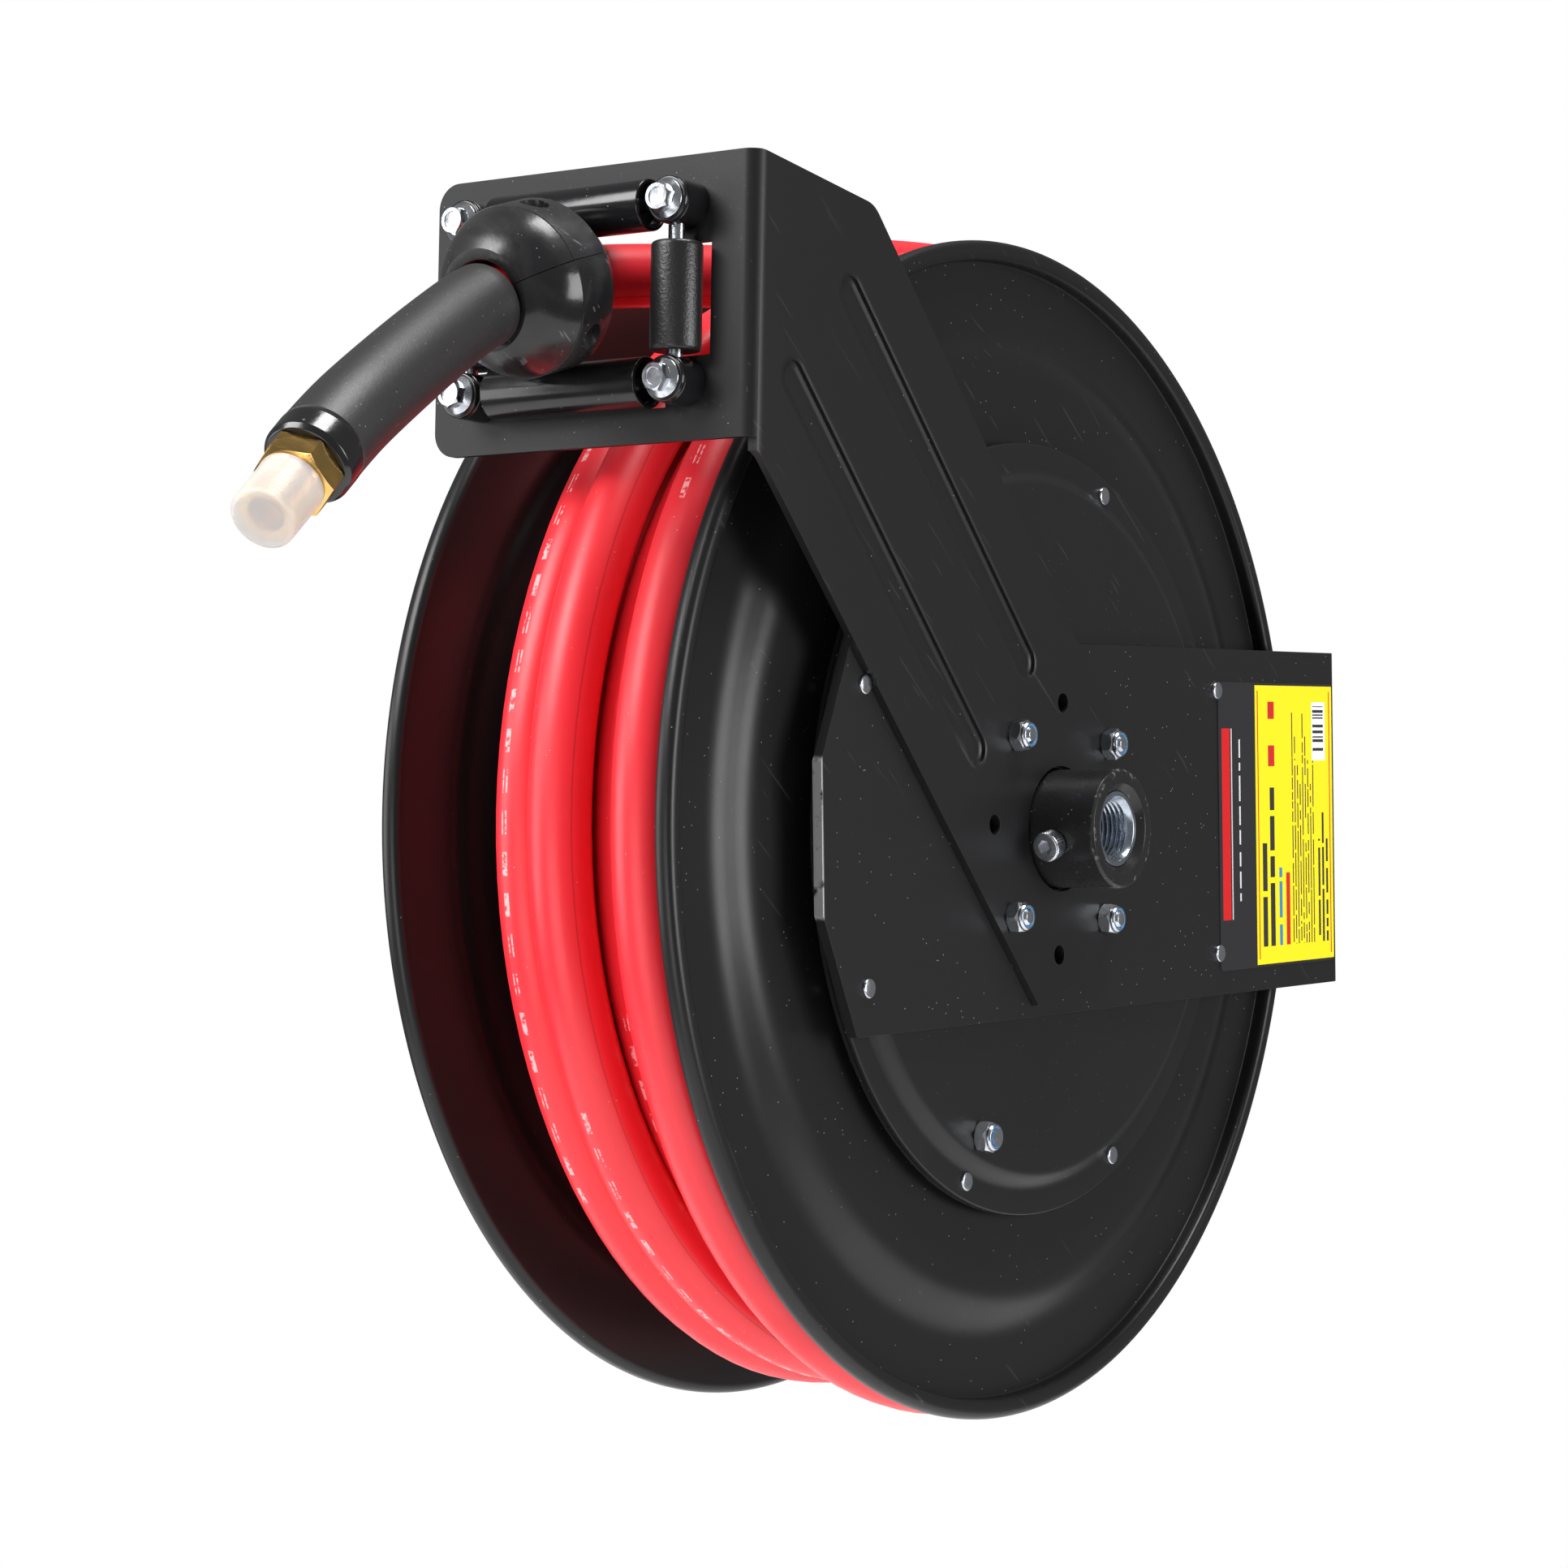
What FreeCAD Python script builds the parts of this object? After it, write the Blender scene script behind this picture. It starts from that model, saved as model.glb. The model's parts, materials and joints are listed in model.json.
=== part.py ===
import FreeCAD, Part
import math
import os
import re
import Sketcher
from FreeCAD import Placement, Rotation, Vector

# Spring-rewind hose reel on a one-sided wall bracket.
# Frame: origin at the middle of the foot's wall face, +Y into the wall, +Z up,
# +X along the reel's axle towards the water inlet.
# "x" cells are places along the axle, "r" cells are radii, all in millimetres.
SIZES = {
    # bracket
    "axis_to_wall": 213, "base_face_x": 60, "base_thick": 3.5, "base_half_height": 63,
    "base_reach": 353, "base_corner_run": 18, "base_corner_half": 24, "foot_half_width": 60,
    "bend_inner_r": 2.5, "foot_hole_r": 4.5, "foot_hole_x": 40, "foot_hole_z": 45,
    "rivet_circle_r": 125, "rivet_r": 2.1, "rivet_hole_r": 2.25, "rivet_head_r": 3.2,
    "rivet_head_high": 1.2,
    "bolt_circle_r": 42.7, "bolt_hole_r": 3.3, "boss_hole_r": 20.6,
    # guide arm, leaning about the axle
    "arm_lean": 3, "arm_thick": 2.5, "arm_half_width": 51.5, "arm_end": 51, "arm_end_half": 20,
    "arm_shoulder": 33, "arm_top": 200, "arm_drop": 7, "plate_bottom": 112.4, "plate_front": 184.3,
    "plate_left": 62, "arm_corner_r": 11, "plate_corner_r": 8, "arm_bend_r": 3,
    "rib_depth": 1.4, "rib_half_width": 5.5, "rib_offset": 21.5, "rib_start": 56, "rib_end": 209,
    "window_left": 51, "window_right": 46, "window_low": 138.2, "window_high": 172.9,
    "slot_left": 34.5, "slot_right": 29.5, "slot_low": 123, "slot_high": 191.5,
    # roller cage
    "post_left": 42.5, "post_right": 37.5, "post_low": 130, "post_high": 184.5, "post_r": 7.3,
    "post_long": 12, "post_hole_r": 2.6, "pin_r": 2.25, "pin_hole_r": 2.3, "pin_gap": 3.2,
    "roller_r": 8, "roller_recess_r": 6.2, "roller_recess": 3, "roller_edge": 0.8,
    "roller_long": 60, "roller_short": 33.5, "roller_drop": 8.7, "small_bolt_r": 2.4, "small_flange_r": 6,
    "small_flange": 1.3, "small_head_r": 4.6, "small_head": 4.2, "small_nut_bore_r": 2.5,
    # hub and axle
    "boss_r": 20, "boss_face_x": 86.5, "hub_flange_r": 52, "hub_flange": 5,
    "shaft_r": 12.7, "shaft_bore_r": 6.5,
    "shaft_face_x": 84.3, "shaft_end_x": -75, "bore_end_x": -48, "inlet_r": 9.3,
    "inlet_depth": 16, "inlet_mouth_r": 10.6, "port_x": -43, "port_r": 3.4, "countersink_r": 15,
    "groove_r": 11.8, "groove_x": -72.7, "groove_wide": 1.5,
    "bolt_r": 2.95, "bolt_head_r": 5.55, "bolt_head": 4, "nut_r": 5.6, "nut_high": 6,
    "nut_bore_r": 3.05, "insert_r": 4.2,
    "lock_x": 71.3, "lock_r": 2.5, "lock_head_r": 4.7, "lock_head": 5.5, "lock_socket_r": 2.6,
    # spring case, fixed to the bracket
    "cover_x": 50.7, "cover_thick": 2, "cover_r": 131, "dome_x": 54.5, "dome_r": 118,
    "dome_foot_r": 121, "case_thick": 1.5, "case_r": 93.5,
    "case_bottom_x": 8, "case_bore_r": 22, "spring_inner_r": 24.5, "spring_outer_r": 90,
    "spring_strip": 1.1, "spring_turns": 13, "spring_low_x": 12, "spring_wide": 32,
    # pawl and ratchet
    "pawl_radius": 110, "pawl_angle": -113.5, "pawl_x": 40.6, "pawl_thick": 3.4, "pawl_boss_r": 5.4,
    "pawl_bore_r": 3.03, "pawl_long": 24, "ring_tip_r": 116.5, "ring_root_r": 119.8,
    "ring_r": 123.4, "tip_angle": 11.06, "ring_x": 40.3, "ring_thick": 4, "ring_teeth": 24, "notch_angle": 8,
    # reel
    "near_x": 38.8, "far_x": -61.8, "sheet": 1.2, "rim_r": 200, "bead": 7, "step_out_r": 170.5,
    "step_in_r": 159.5, "step": 5.5, "flange_hole_r": 119, "drum_r": 125, "drum_thick": 1.5,
    "web_x": 4, "web_thick": 2, "web_bore_r": 19.1, "arbor_r": 19, "arbor_bore_r": 15.6,
    "arbor_end_x": 44, "arbor_flange_r": 34, "bush_bore_r": 12.76, "bush_r": 15.55,
    "far_hub_r": 20, "far_hub_flange_r": 40, "far_hub_flange": 5, "far_hub_x": -69.4,
    "far_hub_end_x": -57, "far_bolt_circle_r": 30,
    "swivel_x": -57, "swivel_end_x": -29, "swivel_r": 22, "swivel_bore_r": 12.77,
    "chamber_r": 16, "chamber_half": 3.5, "seal_groove_r": 15.3, "seal_groove": 2.8,
    "elbow_r": 8, "elbow_bore_r": 5, "elbow_top": 105, "elbow_bend_r": 22, "elbow_end": 42,
    "slot_half": 12, "slot_start": 62, "slot_end": 108,
    # hose
    "hose_r": 10, "coil_gap": 0.3, "near_turn_x": 38.3, "near_turn_low": 18, "near_turn_r": 199,
    "valley_r": 181, "mid_turn_x": 6, "mid_turn_low": -14, "mid_turn_r": 199.5,
    "edge_turn_x": -31, "edge_turn_r": 192, "second_low": -52, "second_r": 163,
    "first_low": -61.3, "first_r": 146,
    "band_r": 26.7, "band_back": 7, "band_front": 8, "dome_back_r": 26, "dome_front_r": 27.4,
    "ball_bore_r": 10.4, "socket_r": 12, "ball_seam": 0.15, "sleeve_start": 0.62, "ball_roll": 17,
    "ball_screw_y": 14.8,
    "sleeve_bore_r": 10.2, "sleeve_r": 12.9, "end_ring_r": 13.3, "end_ring_long": 10,
    "fitting_hex_r": 12.1, "fitting_hex": 8, "thread_r": 8.7, "thread_long": 16,
    "fitting_bore_r": 5.5, "cap_bore_r": 8.9, "cap_wall": 0.8, "cap_long": 19,
    "label_thick": 0.3, "label_low": 54.5, "label_high": 51, "label_start": 97, "label_end": 6.3,
}

# Route of the free hose, from the top of the drum through the rollers to its fitting.
HOSE_ROUTE = [(14, -325, 179.8), (7, -361, 177.7), (-2.4, -396, 174.25), (-2.4, -436.6, 163.75),
              (4.5, -468, 149.5), (12.5, -503, 132), (17.8, -528, 118.3), (20, -543.5, 106.5)]
BALL_CORNERS = (2, 3)

DOC = FreeCAD.newDocument("hose_reel")
DIMS = DOC.addObject("Spreadsheet::Sheet", "dims")
for row, (alias, number) in enumerate(SIZES.items(), start=1):
    DIMS.set("A%d" % row, alias)
    DIMS.set("B%d" % row, str(number))
    DIMS.setAlias("B%d" % row, alias)
DOC.recompute()

SUBPARTS = []


def term(word):
    """Value of one product such as 2*hose_r or -boss_r."""
    result = 1.0
    if word.startswith("-"):
        result = -1.0
        word = word[1:]
    for factor in word.split("*"):
        result *= SIZES[factor] if factor in SIZES else float(factor)
    return result


def value(text):
    """Value of a sum of products, written with a space on each side of + and -."""
    total = 0.0
    sign = 1.0
    for word in str(text).split():
        if word in "+-":
            sign = 1.0 if word == "+" else -1.0
        else:
            total += sign * term(word)
    return total


def bound(text):
    """The same sum as an expression on the spreadsheet's cells."""
    return re.sub(r"[a-z][a-z_]+", r"dims.\g<0>", str(text))


def bind(item, path, text):
    item.setExpression(path, bound(text))


def keep(item, label):
    """Marks an object as a sub-part and gives it its node name."""
    item.Label = label
    SUBPARTS.append(item)
    return item


# Places: on the axle, on the leaning arm, or anywhere.

def axle_place(x=0.0, turn=0.0):
    return Placement(Vector(x, -value("axis_to_wall"), 0), Rotation(Vector(1, 0, 0), turn))


def arm_place(x, y, z, rotation=Rotation()):
    return axle_place(turn=-value("arm_lean")) * Placement(Vector(x, y, z), rotation)


def polar(radius, degrees):
    """Y and Z of a point on a circle about the axle."""
    angle = math.radians(degrees)
    return radius * math.cos(angle), radius * math.sin(angle)


def along(direction, origin):
    """Placement that turns local X to a direction."""
    return Placement(Vector(*origin), Rotation(Vector(1, 0, 0), Vector(*direction)))


# PartDesign pieces

def new_body(label):
    return DOC.addObject("PartDesign::Body", label)


def origin_plane(body, role):
    return next(item for item in body.Origin.OriginFeatures if item.Role == role)


def new_sketch(body, name, role, offset=None):
    sketch = body.newObject("Sketcher::SketchObject", name)
    sketch.AttachmentSupport = [(origin_plane(body, role), "")]
    sketch.MapMode = "FlatFace"
    if offset is not None:
        sketch.AttachmentOffset = Placement(Vector(0, 0, value(offset)), Rotation())
        bind(sketch, "AttachmentOffset.Base.z", offset)
    return sketch


def hold_point(sketch, geometry, point, x, y):
    """Ties a point of the sketch to two cells."""
    tag = "%d_%d" % (geometry, point)
    for kind, letter, text in (("DistanceX", "x", x), ("DistanceY", "y", y)):
        place = sketch.addConstraint(Sketcher.Constraint(kind, -1, 1, geometry, point, value(text)))
        name = letter + tag
        sketch.renameConstraint(place, name)
        bind(sketch, "Constraints." + name, text)


def add_polygon(sketch, points):
    """Closed outline through points given as pairs of cell sums."""
    corners = [Vector(value(x), value(y), 0) for x, y in points]
    first = sketch.GeometryCount
    count = len(points)
    for i in range(count):
        sketch.addGeometry(Part.LineSegment(corners[i], corners[(i + 1) % count]), False)
    for i in range(count):
        following = first + (i + 1) % count
        sketch.addConstraint(Sketcher.Constraint("Coincident", first + i, 2, following, 1))
        hold_point(sketch, first + i, 1, points[i][0], points[i][1])


def add_circle(sketch, x, y, radius):
    circle = Part.Circle(Vector(value(x), value(y), 0), Vector(0, 0, 1), value(radius))
    place = sketch.addGeometry(circle, False)
    hold_point(sketch, place, 3, x, y)
    size = sketch.addConstraint(Sketcher.Constraint("Radius", place, value(radius)))
    sketch.renameConstraint(size, "r%d" % place)
    bind(sketch, "Constraints.r%d" % place, radius)


def revolve(body, name, points):
    """Solid of revolution about local X from (along, radius) pairs."""
    sketch = new_sketch(body, name + "_profile", "XY_Plane")
    add_polygon(sketch, points)
    turn = body.newObject("PartDesign::Revolution", name + "_turn")
    turn.Profile = sketch
    turn.ReferenceAxis = (sketch, ["H_Axis"])
    turn.Angle = 360
    body.Tip = turn
    sketch.Visibility = False
    return turn


def pad(body, sketch, name, length):
    feature = body.newObject("PartDesign::Pad", name)
    feature.Profile = sketch
    feature.Length = value(length)
    bind(feature, "Length", length)
    body.Tip = feature
    return feature


def cut(body, sketch, name, depth=None):
    """Pocket against the sketch's normal, or right through both ways."""
    DOC.recompute()
    before = body.Shape.Volume
    feature = body.newObject("PartDesign::Pocket", name)
    feature.Profile = sketch
    if depth is None:
        feature.Type = "ThroughAll"
        feature.Midplane = True
    else:
        feature.Length = value(depth)
        bind(feature, "Length", depth)
    body.Tip = feature
    DOC.recompute()
    if body.Shape.Volume >= before - 1e-6:
        raise RuntimeError("%s removes nothing" % name)
    return feature


def round_edges(body, name, radius, chosen):
    """Fillet on the edges that a test picks by their middle point and direction."""
    DOC.recompute()
    base = body.Tip
    names = []
    for i, edge in enumerate(base.Shape.Edges, start=1):
        middle = edge.valueAt((edge.FirstParameter + edge.LastParameter) / 2)
        if chosen(edge, middle):
            names.append("Edge%d" % i)
    if not names:
        raise RuntimeError("%s finds no edge" % name)
    feature = body.newObject("PartDesign::Fillet", name)
    feature.Base = (base, names)
    feature.Radius = value(radius)
    bind(feature, "Radius", radius)
    body.Tip = feature
    return feature


def is_line(edge, direction):
    if edge.Curve.TypeId != "Part::GeomLine":
        return False
    return abs(edge.Curve.Direction.dot(Vector(*direction))) > 0.999


def near(first, second):
    return abs(first - second) < 0.02


def turned(label, points, place=None):
    """A turned piece as its own sub-part."""
    body = new_body(label)
    revolve(body, label, points)
    body.Placement = axle_place() if place is None else place
    if place is None:
        bind(body, "Placement.Base.y", "-axis_to_wall")
    return keep(body, label)


def ring_points(low, high, inner, outer):
    return [(low, inner), (low, outer), (high, outer), (high, inner)]


def lean_spots(count, start, radius):
    """Points of a bolt circle that leans with the arm, as (y, z) numbers."""
    step = 360.0 / count
    lean = value("arm_lean")
    return [polar(value(radius), start - lean + step * i) for i in range(count)]


def rivet_spots(angles):
    return [polar(value("rivet_circle_r"), angle) for angle in angles]


def add_holes(body, name, spots, radius, role="YZ_Plane"):
    sketch = new_sketch(body, name + "_holes", role)
    for first, second in spots:
        add_circle(sketch, first, second, radius)
    cut(body, sketch, name + "_drill")


# Part primitives

def primitive(kind, name, place, **sizes):
    """A Part primitive whose sizes are cells and whose local Z lies along place's X."""
    item = DOC.addObject("Part::" + kind, name)
    for key, text in sizes.items():
        if isinstance(text, int):
            setattr(item, key, text)
        else:
            setattr(item, key, value(text))
            bind(item, key, text)
    item.Placement = place * Placement(Vector(0, 0, 0), Rotation(Vector(0, 1, 0), 90))
    return item


def ahead(place, distance, text=None):
    return place * Placement(Vector(value(distance) if text is None else text, 0, 0), Rotation())


def fuse(name, *items):
    item = DOC.addObject("Part::MultiFuse", name)
    item.Shapes = list(items)
    return item


def subtract(name, base, tool):
    item = DOC.addObject("Part::Cut", name)
    item.Base = base
    item.Tool = tool
    return item


def group(label, items):
    item = DOC.addObject("Part::Compound", label)
    item.Links = list(items)
    return keep(item, label)


def hex_bolt(name, place, long, head_r="bolt_head_r", head="bolt_head", shank_r="bolt_r"):
    """Hexagon bolt: the head ends at place, the shank runs along its X."""
    top = primitive("Prism", name + "_head", ahead(place, "-" + head), Polygon=6,
                    Circumradius=head_r, Height=head)
    shank = primitive("Cylinder", name + "_shank", place, Radius=shank_r, Height=long)
    return fuse(name, top, shank)


def hex_nut(name, place, radius="nut_r", high="nut_high", bore="nut_bore_r"):
    blank = primitive("Prism", name + "_blank", place, Polygon=6, Circumradius=radius, Height=high)
    hole = primitive("Cylinder", name + "_bore", place, Radius=bore, Height=high)
    return subtract(name, blank, hole)


def lock_nut(name, place):
    """Nut with a round collar that holds the nylon insert."""
    collar_start = ahead(place, "nut_high - 2")
    hexagon = primitive("Prism", name + "_hex", place, Polygon=6, Circumradius="nut_r",
                        Height="nut_high - 2")
    collar = primitive("Cylinder", name + "_collar", collar_start, Radius="nut_r - 0.9", Height="2")
    blank = fuse(name + "_blank", hexagon, collar)
    bore = primitive("Cylinder", name + "_bore", place, Radius="nut_bore_r", Height="nut_high")
    seat = primitive("Cylinder", name + "_seat", ahead(collar_start, "0.2"), Radius="insert_r",
                     Height="1.8")
    return subtract(name, blank, fuse(name + "_hollow", bore, seat))


def insert_ring(name, place):
    start = ahead(place, "nut_high - 1.7")
    blank = primitive("Cylinder", name + "_blank", start, Radius="insert_r - 0.05", Height="1.5")
    bore = primitive("Cylinder", name + "_bore", start, Radius="nut_bore_r", Height="1.5")
    return subtract(name, blank, bore)


def rivet(name, head_place, long, tail="1.4"):
    """Rivet: flat head outside place, shank and formed tail on the other side."""
    head = primitive("Cone", name + "_head", head_place, Radius1="rivet_r + 0.3",
                     Radius2="rivet_head_r", Height="rivet_head_high")
    back = head_place * Placement(Vector(0, 0, 0), Rotation(Vector(0, 1, 0), 180))
    shank = primitive("Cylinder", name + "_shank", back, Radius="rivet_r", Height=long)
    end = primitive("Cylinder", name + "_tail", ahead(back, long), Radius="rivet_head_r - 0.4",
                    Height=tail)
    return fuse(name, head, shank, end)


def on_axle(x, spot):
    y, z = spot
    return axle_place() * Placement(Vector(value(x), y, z), Rotation())


QUARTERS = lean_spots(4, 45, "bolt_circle_r")
EIGHTHS = lean_spots(8, 0, "bolt_circle_r")
COVER_ANGLES = (67.5, 112.5, -67.5, -112.5)
BASE_ANGLES = (22.5, 157.5, -22.5, -157.5)
PAWL_SPOT = polar(value("pawl_radius"), value("pawl_angle"))
POSTS = [(-value("post_left"), value("post_low")), (value("post_right"), value("post_low")),
         (value("post_right"), value("post_high")), (-value("post_left"), value("post_high"))]


# Bracket

def base_plate():
    body = new_body("base_plate")
    sketch = new_sketch(body, "base_fold", "XY_Plane", "-base_half_height")
    inner = "base_face_x - base_thick"
    add_polygon(sketch, [("base_face_x", "-base_reach"), ("base_face_x", "0"),
                         ("-foot_half_width", "0"), ("-foot_half_width", "-base_thick"),
                         (inner, "-base_thick"), (inner, "-base_reach")])
    pad(body, sketch, "base_fold_pad", "2*base_half_height")
    outer_x = value("base_face_x")
    inner_x = value(inner)
    round_edges(body, "base_bend_out", "bend_inner_r + base_thick",
                lambda e, m: is_line(e, (0, 0, 1)) and near(m.x, outer_x) and near(m.y, 0))
    round_edges(body, "base_bend_in", "bend_inner_r",
                lambda e, m: is_line(e, (0, 0, 1)) and near(m.x, inner_x)
                and near(m.y, -value("base_thick")))
    corners = new_sketch(body, "base_corners", "YZ_Plane")
    for side in ("", "-"):
        add_polygon(corners, [("-base_reach", side + "base_half_height"),
                              ("-base_reach", side + "base_corner_half"),
                              ("-base_reach + base_corner_run", side + "base_half_height")])
    cut(body, corners, "base_corner_cut")
    axle = value("axis_to_wall")
    spots = [(y - axle, z) for y, z in EIGHTHS]
    add_holes(body, "base_bolts", spots, "bolt_hole_r")
    add_holes(body, "base_rivet", [(y - axle, z) for y, z in rivet_spots(BASE_ANGLES)],
              "rivet_hole_r")
    add_holes(body, "base_boss", [("-axis_to_wall", "0")], "boss_hole_r")
    sides = ("foot_hole_x", "-foot_hole_x")
    add_holes(body, "foot", [(x, z) for x in sides for z in ("foot_hole_z", "-foot_hole_z")],
              "foot_hole_r", "XZ_Plane")
    foot_x = -value("foot_half_width")
    round_edges(body, "foot_corners", "arm_corner_r",
                lambda e, m: is_line(e, (0, 1, 0)) and near(m.x, foot_x))
    keep(body, "base_plate")


def arm_side_outline():
    """Side of the arm as (y, z) pairs: a 45 degree strip with a pointed lower end."""
    half = value("arm_half_width") * math.sqrt(2)
    diagonal = math.sqrt(0.5)

    def strip(across, upward):
        return (diagonal * (across - upward), diagonal * (across + upward))

    top = value("arm_top")
    front = value("plate_front")
    shoulder = -value("arm_shoulder")
    tip = -value("arm_end")
    width = value("arm_half_width")
    blunt = value("arm_end_half")
    low = value("plate_bottom")
    drop = value("arm_drop")
    bend = front - value("arm_thick") - 0.5
    return [(-front - 1, top), (-front - 1, low), (-bend, low), (-bend, bend - half),
            strip(-width, shoulder), strip(-blunt, tip), strip(blunt, tip),
            strip(width, shoulder), (half - top + drop, top - drop),
            (-bend, top)]


def guide_arm():
    body = new_body("guide_arm")
    face = "base_face_x + arm_thick"
    sketch = new_sketch(body, "arm_fold", "XY_Plane", "-80")
    add_polygon(sketch, [(face, "80"), (face, "-plate_front"), ("-plate_left", "-plate_front"),
                         ("-plate_left", "-plate_front + arm_thick"),
                         ("base_face_x", "-plate_front + arm_thick"), ("base_face_x", "80")])
    pad(body, sketch, "arm_fold_pad", "arm_top + 80")
    face_x = value(face)
    inner_x = value("base_face_x")
    front = -value("plate_front")
    round_edges(body, "arm_bend_out", "arm_bend_r + arm_thick",
                lambda e, m: is_line(e, (0, 0, 1)) and near(m.x, face_x) and near(m.y, front))
    round_edges(body, "arm_bend_in", "arm_bend_r",
                lambda e, m: is_line(e, (0, 0, 1)) and near(m.x, inner_x) and m.y < 0)
    outline = new_sketch(body, "arm_outline", "YZ_Plane")
    add_polygon(outline, [("-260", "-140"), ("140", "-140"), ("140", "260"), ("-260", "260")])
    add_polygon(outline, arm_side_outline())
    cut(body, outline, "arm_outline_cut")
    window = new_sketch(body, "window", "XZ_Plane")
    add_polygon(window, [("-window_left", "window_low"), ("-slot_left", "window_low"),
                         ("-slot_left", "slot_low"), ("slot_right", "slot_low"),
                         ("slot_right", "window_low"), ("window_right", "window_low"),
                         ("window_right", "window_high"), ("slot_right", "window_high"),
                         ("slot_right", "slot_high"), ("-slot_left", "slot_high"),
                         ("-slot_left", "window_high"), ("-window_left", "window_high")])
    cut(body, window, "window_cut")
    add_holes(body, "post", POSTS, "post_hole_r", "XZ_Plane")
    around = [polar(value("bolt_circle_r"), 45 * i) for i in range(8)]
    add_holes(body, "arm_bolt", around, "bolt_hole_r")
    add_holes(body, "arm_boss", [("0", "0")], "boss_hole_r + 0.6")
    beside_rivet = polar(value("rivet_circle_r"), 157.5 + value("arm_lean"))
    add_holes(body, "arm_rivet_notch", [beside_rivet], "rivet_head_r + 0.3")
    diagonal = math.sqrt(0.5)
    half = value("rib_half_width")
    for side in (-1, 1):
        offset = side * value("rib_offset")
        ends = [(diagonal * (offset - up), diagonal * (offset + up))
                for up in (value("rib_start"), value("rib_end"))]
        shift = half * diagonal
        name = "rib_%s" % ("low" if side < 0 else "high")
        (y0, z0), (y1, z1) = ends
        trough = new_sketch(body, name, "YZ_Plane", face)
        add_polygon(trough, [(y0 - shift, z0 - shift), (y0 + shift, z0 + shift),
                             (y1 + shift, z1 + shift), (y1 - shift, z1 - shift)])
        cut(body, trough, name + "_press", "rib_depth")
        rounds = new_sketch(body, name + "_ends", "YZ_Plane", face)
        for y, z in ends:
            add_circle(rounds, y, z, "rib_half_width")
        cut(body, rounds, name + "_ends_press", "rib_depth")
    left_x = -value("plate_left")
    round_edges(body, "plate_corners", "plate_corner_r",
                lambda e, m: is_line(e, (0, 1, 0)) and near(m.x, left_x))
    round_edges(body, "arm_corner", "arm_corner_r",
                lambda e, m: is_line(e, (1, 0, 0)) and near(m.z, value("arm_top - arm_drop"))
                and m.y > -value("plate_front") + 9)
    body.Placement = arm_place(0, 0, 0)
    bind(body, "Placement.Base.y", "-axis_to_wall")
    keep(body, "guide_arm")


def hub():
    back = "dome_x - hub_flange"
    face = "dome_x"
    body = new_body("hub_blank")
    revolve(body, "hub_blank",
            [(back, "shaft_r + 0.02"), (back, "hub_flange_r"), (face, "hub_flange_r"),
             (face, "boss_r"), ("boss_face_x - 1", "boss_r"), ("boss_face_x", "boss_r - 1"),
             ("boss_face_x", "countersink_r"), ("shaft_face_x - 0.4", "shaft_r + 0.02")])
    add_holes(body, "hub_bolt", QUARTERS, "bolt_hole_r")
    body.Placement = axle_place()
    bind(body, "Placement.Base.y", "-axis_to_wall")
    radial = axle_place(value("lock_x"), 0) * Placement(
        Vector(0, 0, 0), Rotation(Vector(1, 0, 0), Vector(0, -0.975, -0.222)))
    tapped = primitive("Cylinder", "lock_hole", ahead(radial, "shaft_r - 1"),
                       Radius="lock_r + 0.03", Height="boss_r + 3 - shaft_r")
    keep(subtract("hub_drilled", body, tapped), "hub_holder")

    shaft = new_body("inlet_shaft")
    seat = "shaft_face_x - inlet_depth"
    revolve(shaft, "inlet_shaft",
            [("bore_end_x", "0"), ("bore_end_x", "shaft_bore_r"), (seat, "shaft_bore_r"),
             (seat, "inlet_r"), ("shaft_face_x - 1.3", "inlet_r"),
             ("shaft_face_x", "inlet_mouth_r"), ("shaft_face_x", "shaft_r"),
             ("groove_x + groove_wide", "shaft_r"), ("groove_x + groove_wide", "groove_r"),
             ("groove_x", "groove_r"), ("groove_x", "shaft_r"), ("shaft_end_x + 1", "shaft_r"),
             ("shaft_end_x", "shaft_r - 1"), ("shaft_end_x", "0")])
    add_holes(shaft, "shaft_port", [("port_x", "0")], "port_r", "XY_Plane")
    shaft.Placement = axle_place()
    bind(shaft, "Placement.Base.y", "-axis_to_wall")
    keep(shaft, "inlet_shaft")

    # radial lock screw, a little below level, on the front of the boss
    seat_r = "boss_r + 0.6"
    shank = primitive("Cylinder", "lock_shank", ahead(radial, "shaft_r + 0.1"), Radius="lock_r",
                      Height="boss_r + 0.5 - shaft_r")
    head = primitive("Cylinder", "lock_head_blank", ahead(radial, seat_r), Radius="lock_head_r",
                     Height="lock_head")
    socket = primitive("Prism", "lock_socket", ahead(radial, seat_r + " + lock_head - 3"),
                       Polygon=6, Circumradius="lock_socket_r", Height="3")
    keep(subtract("lock_screw_cut", fuse("lock_blank", shank, head), socket), "shaft_lock_screw")

    outside = "base_face_x + arm_thick"
    bolt_long = outside + " + nut_high + 0.6 - dome_x + hub_flange"
    group("arm_bolts", [hex_bolt("arm_bolt_%d" % i, on_axle(back, s), bolt_long)
                        for i, s in enumerate(QUARTERS)])
    group("arm_nuts", [lock_nut("arm_nut_%d" % i, on_axle(outside, s))
                       for i, s in enumerate(QUARTERS)])
    spots = [on_axle(outside, s) for s in QUARTERS] + [on_axle("dome_x + cover_thick", PAWL_SPOT)]
    group("locknut_inserts", [insert_ring("insert_%d" % i, s) for i, s in enumerate(spots)])


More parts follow.
